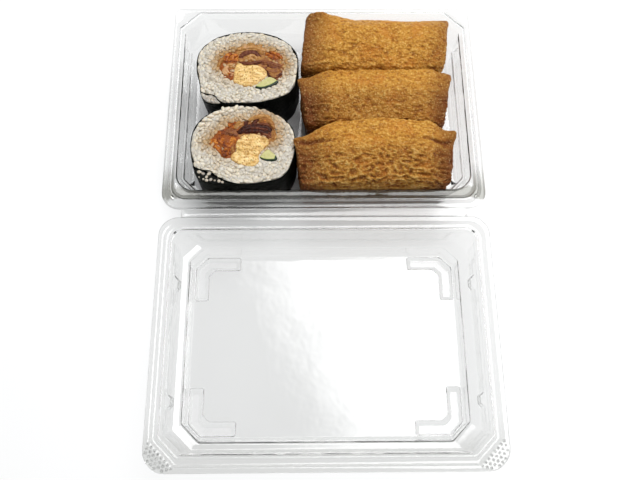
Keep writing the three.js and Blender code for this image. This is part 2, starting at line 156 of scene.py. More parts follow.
class Finish:
    """A material put together from nodes."""

    def __init__(self, name):
        self.material = bpy.data.materials.new(name)
        self.material.use_nodes = True
        self.tree = self.material.node_tree
        self.tree.nodes.clear()

    def node(self, kind, settings=None, sockets=None, output=0):
        """Adds a node, sets it and its sockets, and returns one of its outputs."""
        made = self.tree.nodes.new(kind)
        for name, value in (settings or {}).items():
            if name == "stops":
                for _ in value[2:]:
                    made.color_ramp.elements.new(0.5)
                for element, (position, color) in zip(made.color_ramp.elements, value):
                    element.position = position
                    element.color = (*color, 1.0)
            else:
                setattr(made, name, value)
        for name, value in (sockets or {}).items():
            if isinstance(value, Wire):
                self.tree.links.new(value.socket, made.inputs[name])
            elif isinstance(value, tuple) and made.inputs[name].type == "RGBA":
                made.inputs[name].default_value = (*value, 1.0)
            else:
                made.inputs[name].default_value = value
        return Wire(self, made.outputs[output]) if made.outputs else None

    def place(self, stretch=(1.0, 1.0, 1.0), turn=0.0):
        """Object coordinates, stretched and turned."""
        where = self.node("ShaderNodeTexCoord", output="Object")
        return self.node("ShaderNodeMapping", {}, {
            "Vector": where, "Scale": stretch, "Rotation": (0.0, 0.0, turn)})

    def cloud(self, size, detail=2.0, rough=0.5, stretch=(1.0, 1.0, 1.0), turn=0.0, warp=0.0):
        """Noise from 0 to 1 in blotches of a size in millimetres."""
        return self.node("ShaderNodeTexNoise", {}, {
            "Vector": self.place(stretch, turn), "Scale": 1.0 / (size * MM),
            "Detail": detail, "Roughness": rough, "Distortion": warp})

    def cells(self, size):
        """Distance to the nearest of many points spread a size in millimetres apart."""
        return self.node("ShaderNodeTexVoronoi", {}, {
            "Vector": self.place(), "Scale": 1.0 / (size * MM)})

    def marked(self, name):
        """A number that the mesh carries at its points."""
        return self.node("ShaderNodeAttribute", {"attribute_name": name}, output="Fac")

    def step(self, value, low, high):
        """0 below low, 1 above high, smooth between."""
        return self.node("ShaderNodeMapRange", {"interpolation_type": "SMOOTHSTEP"}, {
            "Value": value, "From Min": low, "From Max": high})

    def ramp(self, value, *stops):
        """A colour read from stops, each a value and the colour there."""
        return self.node("ShaderNodeValToRGB", {"stops": stops}, {"Fac": value})

    def mix(self, factor, a, b):
        """Colour a where factor is 0, b where it is 1."""
        return self.node("ShaderNodeMix", {"data_type": "RGBA"}, {0: factor, 6: a, 7: b}, output=2)

    def bump(self, height, depth):
        """A normal for relief of a depth in millimetres."""
        return self.node("ShaderNodeBump", {}, {"Height": height, "Distance": depth * MM})

    def surface(self, shader):
        """Ends the finish in a shader and returns its material."""
        self.node("ShaderNodeOutputMaterial", {}, {"Surface": shader})
        return self.material

    def coated(self, **sockets):
        """Ends the finish in a Principled shader."""
        named = {name.replace("_", " "): value for name, value in sockets.items()}
        return self.surface(self.node("ShaderNodeBsdfPrincipled", {}, named))


def clear_plastic():
    """Thin clear sheet with faint waves from forming. Lamp light passes almost untinted.
    Shade is painted grey into its colour where dark refractions fall: on the tray's wall by the
    hinge and towards the lid's front edge.
    """
    finish = Finish("clear_plastic")
    waves = finish.cloud(26.0, detail=1.0) * 0.35 + finish.cloud(5.0, detail=1.0) * 0.1
    # Painted shade: the plastic turns grey where the mesh marks it, in place of dark refractions.
    tint_and_painted_shade = finish.mix(finish.marked("smoke"), (0.86, 0.865, 0.86), (0.4, 0.4, 0.37))
    clear = finish.node("ShaderNodeBsdfPrincipled", {}, {
        "Base Color": tint_and_painted_shade,
        "Roughness": 0.02,
        "IOR": 1.5,
        "Transmission Weight": 1.0,
        "Normal": finish.bump(waves, 0.5)})
    passing = finish.node("ShaderNodeBsdfTransparent", {}, {"Color": (0.955, 0.955, 0.955)})
    to_lamp = finish.node("ShaderNodeLightPath", output="Is Shadow Ray")
    scattered = finish.node("ShaderNodeLightPath", output="Is Diffuse Ray")
    seen = finish.node("ShaderNodeMixShader", {}, {"Fac": scattered, 1: clear, 2: passing})
    return finish.surface(finish.node("ShaderNodeMixShader", {}, {
        "Fac": to_lamp, 1: seen, 2: passing}))


def rice_finish():
    """Cooked rice: moist, slightly see-through, each grain of its own tone, stained by sauce."""
    finish = Finish("rice")
    tone = finish.marked("tone")
    pale = finish.mix(tone, (0.61, 0.52, 0.4), (0.75, 0.655, 0.52))
    milky = finish.mix(finish.cloud(1.2) * 0.4, pale, (0.8, 0.73, 0.61))
    ochre = finish.mix(finish.cloud(2.4), (0.28, 0.11, 0.014), (0.5, 0.27, 0.06))
    stained = finish.mix(finish.marked("stain"), milky, ochre)
    purple = finish.mix(finish.marked("shade"), stained, (0.17, 0.14, 0.135))
    return finish.coated(
        Base_Color=purple,
        Specular_IOR_Level=0.4,
        Roughness=0.36,
        Subsurface_Weight=0.4,
        Subsurface_Radius=(1.0, 0.75, 0.5),
        Subsurface_Scale=0.002,
        Normal=finish.bump(finish.cloud(0.7), 0.12))


def nori_finish():
    """Pressed seaweed: black green, finely matted, with a dull sheen."""
    finish = Finish("nori")
    mat = finish.cloud(0.9, detail=4.0, rough=0.7, stretch=(1.0, 1.0, 0.45))
    color = finish.ramp(mat, (0.3, (0.0015, 0.002, 0.0015)), (0.75, (0.006, 0.007, 0.005)))
    return finish.coated(
        Base_Color=color,
        Specular_IOR_Level=0.1,
        Roughness=0.42 + 0.25 * finish.cloud(4.0),
        Normal=finish.bump(mat + finish.cloud(3.0) * 1.5, 0.25))


def egg_finish():
    """Rolled omelette: fine layers and small pores, browned in places."""
    finish = Finish("egg")
    layers = finish.cloud(2.4, detail=3.0, stretch=(0.45, 1.5, 1.0), turn=0.35, warp=0.6)
    pores = finish.step(finish.cells(1.1), 0.18, 0.42)
    yellow = finish.ramp(layers, (0.32, (0.52, 0.28, 0.06)), (0.5, (0.74, 0.49, 0.17)),
                         (0.68, (0.92, 0.69, 0.32)))
    pitted = finish.mix(pores, (0.44, 0.22, 0.05), yellow)
    toasted = finish.mix(finish.marked("tone"), pitted, (0.5, 0.25, 0.08))
    return finish.coated(
        Base_Color=toasted,
        Roughness=0.42,
        Subsurface_Weight=0.2,
        Subsurface_Radius=(1.0, 0.6, 0.25),
        Subsurface_Scale=0.0015,
        Normal=finish.bump(layers + pores * 0.4, 0.35))


def cucumber_finish():
    """Pale wet flesh, greener towards a dark green rind."""
    finish = Finish("cucumber")
    rind = finish.marked("rind")
    flesh = finish.mix(finish.cloud(1.6, detail=3.0), (0.4, 0.38, 0.12), (0.66, 0.62, 0.3))
    greener = finish.mix(finish.step(rind, 0.2, 0.55), flesh, (0.3, 0.4, 0.07))
    skin = finish.mix(finish.step(rind, 0.42, 0.6), greener, (0.008, 0.02, 0.008))
    return finish.coated(
        Base_Color=skin,
        Specular_IOR_Level=0.2,
        Roughness=0.25,
        Subsurface_Weight=0.2,
        Subsurface_Radius=(0.8, 1.0, 0.4),
        Subsurface_Scale=0.0015,
        Normal=finish.bump(finish.cloud(0.8, detail=3.0), 0.15))


def carrot_finish():
    """Simmered carrot: glossy orange, mottled, each piece of its own tone."""
    finish = Finish("carrot")
    tone = finish.cloud(1.8, detail=4.0, rough=0.6) * 1.5 + finish.marked("tone") * 0.3 - 0.4
    color = finish.ramp(tone, (0.25, (0.13, 0.022, 0.003)), (0.48, (0.35, 0.085, 0.007)),
                        (0.75, (0.6, 0.22, 0.03)))
    return finish.coated(
        Base_Color=color,
        Specular_IOR_Level=0.25,
        Roughness=0.32,
        Coat_Weight=0.05,
        Coat_Roughness=0.1,
        Subsurface_Weight=0.15,
        Subsurface_Radius=(1.0, 0.35, 0.1),
        Subsurface_Scale=0.0015,
        Normal=finish.bump(finish.cloud(1.0, detail=4.0, rough=0.6), 0.5))


def gourd_finish():
    """Strips of gourd and mushroom simmered in soy sauce, from purple black to pale tan."""
    finish = Finish("simmered_gourd")
    tone = finish.marked("tone") + (finish.cloud(1.6, detail=4.0, rough=0.65) - 0.5) * 0.9
    color = finish.ramp(tone, (0.0, (0.032, 0.006, 0.003)), (0.25, (0.11, 0.026, 0.012)),
                        (0.45, (0.22, 0.075, 0.03)), (0.65, (0.3, 0.12, 0.03)),
                        (0.85, (0.44, 0.22, 0.06)), (1.0, (0.6, 0.34, 0.17)))
    soaked = finish.mix(finish.marked("orange"), color, (0.27, 0.065, 0.008))
    return finish.coated(
        Base_Color=soaked,
        Specular_IOR_Level=0.15,
        Roughness=0.25,
        Coat_Weight=0.04,
        Coat_Roughness=0.08,
        Normal=finish.bump(finish.cloud(1.0, detail=4.0, rough=0.6), 0.5))


def tofu_finish():
    """Fried tofu skin: golden brown, with shade painted into its hollows, its ends, its front and its
    foot, and pale specks that are painted highlights.
    """
    finish = Finish("fried_tofu")
    # relief paints shade into the skin's hollows and lighter tone onto its ridges, following the mesh's
    # folds.
    relief = finish.marked("relief")
    dusk = finish.marked("dusk")
    broad = finish.cloud(14.0)
    grain = finish.cloud(2.0, detail=5.0, rough=0.7, stretch=(0.6, 1.0, 1.0))
    fine = finish.cloud(0.8, detail=3.0, rough=0.65)
    bubbles = finish.cells(1.5)
    tone = relief * 0.55 + broad * 0.25 + grain * 0.7 + fine * 0.5 - bubbles * 0.3 - 0.34
    golden = finish.ramp(
        tone,
        (0.1, (0.2, 0.06, 0.005)),
        (0.34, (0.42, 0.165, 0.014)),
        (0.56, (0.6, 0.285, 0.036)),
        (0.85, (0.92, 0.57, 0.16)))
    rusty = finish.step(finish.cloud(9.0), 0.5, 0.68) * 0.4
    rusted = finish.mix(rusty, golden, (0.56, 0.19, 0.018))
    # Painted shade: the ends, the front, the foot and the long crease are darkened as if turned from the
    # light.
    shaded = finish.mix(dusk, rusted, (0.15, 0.034, 0.002))
    # Painted highlights: small pale glints, as of light caught on oily bumps, scattered over the skin.
    painted_glints = finish.step(finish.cloud(0.8, rough=0.7), 0.57, 0.66)
    with_painted_glints = finish.mix(painted_glints * 0.45, shaded, (0.8, 0.52, 0.21))
    pits = grain * 1.1 + fine * 0.7 - bubbles * 0.6
    return finish.coated(
        Base_Color=with_painted_glints,
        Specular_IOR_Level=0.28,
        Roughness=0.36 + 0.25 * grain,
        Subsurface_Weight=0.08,
        Subsurface_Radius=(1.0, 0.4, 0.15),
        Subsurface_Scale=0.0015,
        Normal=finish.bump(pits, 0.9))


def floor_finish():
    """The dull pale ground that the tray stands on."""
    finish = Finish("pale_floor")
    return finish.coated(Base_Color=(0.93, 0.93, 0.93), Roughness=0.9, Specular_IOR_Level=0.0)


# ---- Making pieces ----

def loft(bm, rings, closed=True, cap_start=False, cap_end=False):
    """Extrudes a line of edges through rings of places. Returns its first and last edges."""
    place = bm.verts.layers.int.get("place") or bm.verts.layers.int.new("place")
    verts = [bm.verts.new(point) for point in rings[0]]
    for i, vert in enumerate(verts):
        vert[place] = i
    pairs = zip(verts, verts[1:] + verts[:1]) if closed else zip(verts, verts[1:])
    first = edges = [bm.edges.new(pair) for pair in pairs]
    for ring in rings[1:]:
        made = bmesh.ops.extrude_edge_only(bm, edges=edges)["geom"]
        verts = {v for v in made if isinstance(v, bmesh.types.BMVert)}
        for vert in verts:
            vert.co = ring[vert[place]]
        edges = [e for e in made if isinstance(e, bmesh.types.BMEdge) and verts.issuperset(e.verts)]
    if cap_start:
        bmesh.ops.contextual_create(bm, geom=first)
    if cap_end:
        bmesh.ops.contextual_create(bm, geom=edges)
    return first, edges


def outward(bm):
    """Turns the faces of a mesh outwards."""
    bmesh.ops.recalc_face_normals(bm, faces=bm.faces)
    return bm


def add_object(bm, name, finish):
    """Turns a bmesh in metres into an object of one finish."""
    mesh = bpy.data.meshes.new(name)
    bm.to_mesh(mesh)
    bm.free()
    mesh.materials.append(finish)
    made = bpy.data.objects.new(name, mesh)
    bpy.context.scene.collection.objects.link(made)
    return made


def add_piece(bm, name, finish, replaced=(), body="tray"):
    """Turns a bmesh in millimetres into a finished piece that rides on a body."""
    for face in bm.faces:
        face.smooth = True
    bmesh.ops.scale(bm, vec=(MM, MM, MM), verts=bm.verts)
    piece = add_object(bm, name, finish)
    if body:
        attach(piece, body)
    if replaced:
        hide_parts(*replaced)
    return piece


def smooth_step(value, low, high):
    """0 below low, 1 above high, smooth between."""
    t = min(max((value - low) / (high - low), 0.0), 1.0)
    return t * t * (3.0 - 2.0 * t)


def curve_through(places, steps, closed=True):
    """A smooth line through places, with a number of steps between each two."""
    count = len(places)
    spans = count if closed else count - 1
    points = []
    for i in range(spans):
        if closed:
            a, b, c, d = (places[(i + k) % count] for k in (-1, 0, 1, 2))
        else:
            a, b, c, d = (places[min(max(i + k, 0), count - 1)] for k in (-1, 0, 1, 2))
        for k in range(steps):
            t = k / steps
            points.append(0.5 * (2.0 * b + (c - a) * t + (2.0 * a - 5.0 * b + 4.0 * c - d) * t * t
                                 + (3.0 * b - a - 3.0 * c + d) * t ** 3))
    if not closed:
        points.append(places[-1].copy())
    return points


# ---- Clear tray, lid and hinge ----

def rounded(radius):
    """A corner turned by one arc, as the leg of its cut and the fillet at each end."""
    return (0.5858 * radius, radius)


def cut(leg, fillet=2.0):
    """A corner cut straight across, with a fillet at each end of the cut."""
    return (leg, fillet)


# Each step of a section: its inset from the flange's edge at the sides, on the hinge side and on
# the far side, its height and its height on the far side, and the corners near and far.
TRAY_SECTION = [
    (0.0, 0.0, 0.0, 26.0, 26.0, rounded(9.0), rounded(4.0)),
    (2.7, 2.7, 2.7, 26.0, 26.0, rounded(7.6), cut(10.5)),
    (3.4, 3.4, 3.4, 27.9, 27.9, rounded(7.3), cut(10.3)),
    (5.0, 5.0, 5.0, 27.9, 27.9, rounded(6.4), cut(9.3)),
    (5.8, 5.7, 5.8, 25.5, 25.5, rounded(6.2), cut(9.1)),
    (6.3, 10.9, 6.3, 25.1, 25.1, rounded(8.0), cut(8.8)),
    (6.7, 11.1, 6.7, 12.8, 12.8, cut(10.5, 4.0), cut(10.0)),
    (7.6, 11.3, 7.6, 12.0, 12.0, cut(11.5), cut(10.0)),
    (8.1, 11.5, 8.1, 1.4, 1.4, cut(12.0), cut(10.0)),
    (9.4, 12.4, 9.4, 0.5, 0.5, cut(12.0), cut(10.0)),
    (11.0, 14.0, 11.0, 0.5, 0.5, cut(12.0), cut(10.0)),
]

LID_SECTION = [
    (0.0, 0.0, 0.0, 26.0, 25.6, rounded(9.0), rounded(10.0)),
    (2.5, 2.5, 2.5, 26.0, 26.0, rounded(7.8), cut(10.8)),
    (3.4, 3.4, 3.4, 24.4, 24.4, rounded(7.5), cut(10.5)),
    (5.0, 5.0, 5.0, 24.4, 24.4, rounded(6.2), cut(9.2)),
    (5.8, 5.8, 5.8, 25.5, 25.5, rounded(5.8), cut(8.6)),
    (6.6, 6.7, 6.7, 25.5, 25.5, rounded(5.4), cut(8.2)),
    (7.6, 7.4, 7.8, 24.5, 24.5, rounded(5.2), cut(8.0)),
    (9.1, 8.4, 9.9, 13.7, 12.6, cut(7.0), cut(9.0)),
    (13.3, 11.0, 13.5, 12.4, 12.4, cut(6.5), cut(8.5)),
    (14.0, 12.1, 15.6, 3.9, 3.9, cut(6.0), cut(7.0)),
    (14.5, 12.6, 16.4, 3.1, 3.1, cut(5.6), cut(6.0)),
    (14.8, 12.9, 16.7, 3.1, 3.1, cut(5.4), cut(5.8)),
]

ALONG_BEND = (0.0, 0.25, 0.5, 0.75, 1.0)
BEND_RADIUS = 1.2
BEND_SHARE = 0.46  # the most of each leg that a bend takes up
LUG = {"length": 6.4, "out": 1.6, "bottom": 15.6, "top": 20.6, "from_end": 31.0}
LUG_RINGS_APART = 1.4
END_PLACES = [-48.0 + 8.0 * i for i in range(13)]
SIDE_PLACES = [24.0, 26.0, *[27.0 + 0.8 * i for i in range(11)], 37.0, 44.0, 51.0, 58.5,
               66.0, 73.0, 80.0, *[82.0 + 0.8 * i for i in range(11)], 91.0, 93.0]


def on_bend(bend, into, onto, t):
    """A place on the curve that turns a bend, from the end of one leg to the end of the other."""
    return bend + into * (1 - t) ** 2 + onto * t * t


def with_bends_turned(steps, radius, length_of, shares):
    """The steps with every bend between them turned by a small curve."""
    smooth = [steps[0]]
    for before, bend, after in zip(steps, steps[1:], steps[2:]):
        into, onto = before - bend, after - bend
        into = into * min(radius / length_of(into), BEND_SHARE)
        onto = onto * min(radius / length_of(onto), BEND_SHARE)
        smooth += [on_bend(bend, into, onto, t) for t in shares]
    smooth.append(steps[-1])
    return smooth


def flat_step(step):
    """A step of a section as one vector, so that steps can be mixed."""
    *places, near, far = step
    return Vector((*places, *near, *far))


def section_length(leg):
    """How long a leg of a section is at the sides: its run inwards and its rise."""
    return math.hypot(leg[0], leg[3])


def with_rings_between(steps, longest):
    """The steps with more put in wherever two lie further apart than a length."""
    spaced = steps[:1]
    for before, after in zip(steps, steps[1:]):
        count = math.ceil((after - before).length / longest)
        spaced += [before.lerp(after, (i + 1) / count) for i in range(count)]
    return spaced


def corner_points(corner, toward_start, toward_end, leg, fillet):
    """The places round one corner: a fillet, a straight cut and a second fillet."""
    reach = fillet * math.tan(math.pi / 8)
    across = (toward_end - toward_start).normalized()
    points = []
    for bend, into, onto in ((corner + toward_start * leg, toward_start, across),
                             (corner + toward_end * leg, -across, toward_end)):
        points += [on_bend(bend, into * reach, onto * reach, t) for t in ALONG_BEND]
    return points


def lug_depth(side_place, height):
    """How far a small upright lug pushes a lid's side wall inwards."""
    depth = 0.0
    for middle in (LUG["from_end"], DEPTH - LUG["from_end"]):
        off = abs(side_place - middle) / (LUG["length"] / 2)
        depth = max(depth, 1.0 - smooth_step(off, 0.55, 1.0))
    rise = smooth_step(height, LUG["bottom"] - 0.6, LUG["bottom"] + 0.8)
    return LUG["out"] * depth * rise * (1.0 - smooth_step(height, LUG["top"] - 1.0, LUG["top"] + 1.5))


def half_ring(side, step, lugs):
    """One ring of a half. side is 1 for the tray, towards +Y, and -1 for the lid."""
    inset, hinge_inset, far_inset, height, far_height = step[:5]
    near_leg, near_fillet, far_leg, far_fillet = step[5:]
    x = WIDTH / 2 - inset
    near = HINGE_HALF + hinge_inset
    far = HINGE_HALF + DEPTH - far_inset
    right, left = Vector((1, 0)), Vector((-1, 0))
    out, back = Vector((0, side)), Vector((0, -side))
    up_side = [HINGE_HALF + place for place in SIDE_PLACES]

    def side_points(sign):
        return [Vector((sign * (x - (lug_depth(y - HINGE_HALF, height) if lugs else 0)), side * y))
                for y in up_side]

    points = [
        *corner_points(Vector((-x, side * near)), out, right, near_leg, near_fillet),
        *[Vector((place, side * near)) for place in END_PLACES],
        *corner_points(Vector((x, side * near)), left, out, near_leg, near_fillet),
        *side_points(1),
        *corner_points(Vector((x, side * far)), back, left, far_leg, far_fillet),
        *[Vector((-place, side * far)) for place in END_PLACES],
        *corner_points(Vector((-x, side * far)), right, back, far_leg, far_fillet),
        *reversed(side_points(-1)),
    ]
    heights = [height + (far_height - height) * smooth_step(abs(p.y), far - 9.0, far - 1.0)
               for p in points]
    return [Vector((p.x, p.y, z)) for p, z in zip(points, heights)]


FOOT = {"arm": 23.6, "breadth": 8.0, "cut": 6.0, "inner_cut": 3.0, "outset": 0.2,
        "corner": 0.8, "bend_radius": 0.5}
# Each step of a foot: how far its outer and its inner edges move in, and its height.
FOOT_SECTION = [(0.7, 0.6, 3.1), (0.9, 0.9, 3.1), (1.5, 2.6, 0.5), (1.9, 3.2, 0.5)]


def foot_ring(sign_x, sign_y, outer, inner, height):
    """An L at one corner of the lid's panel, its edges moved in by two different amounts."""
    side, near, far = (inset - FOOT["outset"] for inset in LID_SECTION[-2][:3])
    corner = Vector((sign_x * (WIDTH / 2 - side),
                     -HINGE_HALF - near if sign_y > 0 else far - DEPTH - HINGE_HALF))
    arm, breadth = FOOT["arm"] - inner, FOOT["breadth"] - inner
    leg = FOOT["cut"] - outer * 0.6
    bend = FOOT["inner_cut"]
    local = [Vector(p) for p in (
        (outer + leg, outer), (arm, outer), (arm, breadth), (breadth + bend, breadth),
        (breadth, breadth + bend), (breadth, arm), (outer, arm), (outer, outer + leg))]
    points = []
    for before, here, after in zip(local[-1:] + local, local, local[1:] + local[:1]):
        into = (before - here).normalized() * FOOT["corner"]
        onto = (after - here).normalized() * FOOT["corner"]
        points += [on_bend(here, into, onto, t) for t in (0.0, 0.5, 1.0)]
    return [Vector((corner.x - sign_x * p.x, corner.y - sign_y * p.y, height)) for p in points]


DIMPLE = {"radius": 0.8, "sunk": 0.44, "apart": 2.1, "rows": (5.4, 7.05, 8.7, 10.35), "edge": 0.9}
TAB_RADIUS = 10.0


def on_tab(away):
    """Whether a dimple fits at a place measured from the corner of the two flange edges."""
    if min(away) < DIMPLE["edge"]:
        return False
    if max(away) > TAB_RADIUS:
        return True
    to_middle = Vector((TAB_RADIUS, TAB_RADIUS)) - away
    return to_middle.length < TAB_RADIUS - DIMPLE["edge"]


def dimple_lift(row):
    """How far below the rim a row of domes starts. The flange falls towards its front edge, and
    the inner rows are lower still, to stay clear of the tray when the lid is shut."""
    return 0.4 * smooth_step(row, 4.1, 11.2) - 0.4 - 0.35 * smooth_step(row, 7.5, 10.4)


def add_dimples(bm):
    """Rows of tiny domes on the two front corner tabs of the lid's flange."""
    for sign in (-1, 1):
        for number, row in enumerate(DIMPLE["rows"]):
            for i in range(-4, 5):
                along = (i + 0.5 * (number % 2)) * DIMPLE["apart"]
                away = Vector((row + along, row - along)) / math.sqrt(2.0)
                if not on_tab(away):
                    continue
                place = Vector((sign * (WIDTH / 2 - away.x), away.y - HINGE_HALF - DEPTH,
                                RIM_HEIGHT + dimple_lift(row) - DIMPLE["sunk"]))
                dome = bmesh.ops.create_uvsphere(bm, u_segments=12, v_segments=8,
                                                 radius=DIMPLE["radius"])["verts"]
                for vert in dome:
                    vert.co += place
                below = [vert for vert in dome if vert.co.z < place.z - 0.1]
                bmesh.ops.delete(bm, geom=below, context="VERTS")


# Where shade is painted into the clear plastic, in place of dark refractions: a band of the tray's wall
# by the hinge, and a greying towards the lid's front edge.
NEAR_WALL = {"y": (7.0, 14.2), "z": (3.0, 28.0)}  # the tray's wall by the hinge
LID_PAINTED_SHADE = {"most": 0.22, "from": 100.0, "to": 108.0}  # towards the lid's front edge


def painted_shade_at(side, place):
    """How much painted shade greys the plastic at a place, standing in for dark refractions."""
    if side > 0:
        (y_low, y_high), (z_low, z_high) = NEAR_WALL["y"], NEAR_WALL["z"]
        return float(y_low < place.y < y_high and z_low < place.z < z_high)
    return LID_PAINTED_SHADE["most"] * smooth_step(-place.y, LID_PAINTED_SHADE["from"], LID_PAINTED_SHADE["to"])


def formed_half(side, section, lugs=False, feet=False):
    """A half of the box, drawn down ring by ring from its flange's edge to its floor."""
    bm = bmesh.new()
    smoke = bm.verts.layers.float.new("smoke")
    steps = with_bends_turned([flat_step(step) for step in section], BEND_RADIUS,
                              section_length, ALONG_BEND)
    if lugs:
        steps = with_rings_between(steps, LUG_RINGS_APART)
    floor_edges = loft(bm, [half_ring(side, step, lugs) for step in steps])[1]
    # Marks how much shade is painted into the plastic at each point.
    for vert in bm.verts:
        vert[smoke] = painted_shade_at(side, vert.co)
    if feet:
        for sign_x in (-1, 1):
            for sign_y in (-1, 1):
                steps = [foot_ring(sign_x, sign_y, *step) for step in foot_steps()]
                top, _ = loft(bm, steps, cap_end=True)
                floor_edges = floor_edges + top
        bmesh.ops.triangle_fill(bm, edges=floor_edges, use_beauty=True, normal=(0, 0, 1))
    else:
        bmesh.ops.contextual_create(bm, geom=floor_edges)
    bmesh.ops.recalc_face_normals(bm, faces=bm.faces)
    lowest = min(bm.faces, key=lambda face: face.calc_center_median().z)
    if lowest.normal.z < 0:
        bmesh.ops.reverse_faces(bm, faces=bm.faces)
    return bm


def foot_steps():
    """The section of a foot's hollow, with its bends turned by small curves."""
    steps = [Vector(step) for step in FOOT_SECTION]
    return with_bends_turned(steps, FOOT["bend_radius"], lambda leg: leg.length,
                             (0.0, 0.33, 0.67, 1.0))


def thicken(piece, thickness):
    """Gives a sheet its thickness below or inside its face, and lets flat faces set the normals."""
    wall = piece.modifiers.new("wall", "SOLIDIFY")
    wall.thickness = thickness * MM
    wall.offset = -1.0
    normals = piece.modifiers.new("normals", "WEIGHTED_NORMAL")
    normals.weight = 50


WEB = {"half_length": 69.0, "steps": 16, "columns": 63, "sag": 0.45}


def hinge_web():
    """The thin strip that joins the two flanges, where the real box bends when the lid is shut.
    It is made open, with a shallow sag, and does not bend.
    """
    bm = bmesh.new()
    half_length = WEB["half_length"]
    rings = []
    for i in range(WEB["steps"] + 1):
        across = 1.0 - 2 * i / WEB["steps"]
        y = HINGE_HALF * across
        fold = 1.0 - abs(across) ** 1.5
        ring = []
        for k in range(WEB["columns"] + 1):
            x = -half_length + 2 * half_length * k / WEB["columns"]
            end = smooth_step(half_length - abs(x), 0.0, 3.0)
            ring.append(Vector((x, y, RIM_HEIGHT - WEB["sag"] * fold * (0.4 + 0.6 * end))))
        rings.append(ring)
    loft(bm, rings, closed=False)
    bmesh.ops.recalc_face_normals(bm, faces=bm.faces)
    if next(iter(bm.faces)).normal.z < 0:
        bmesh.ops.reverse_faces(bm, faces=bm.faces)
    return bm
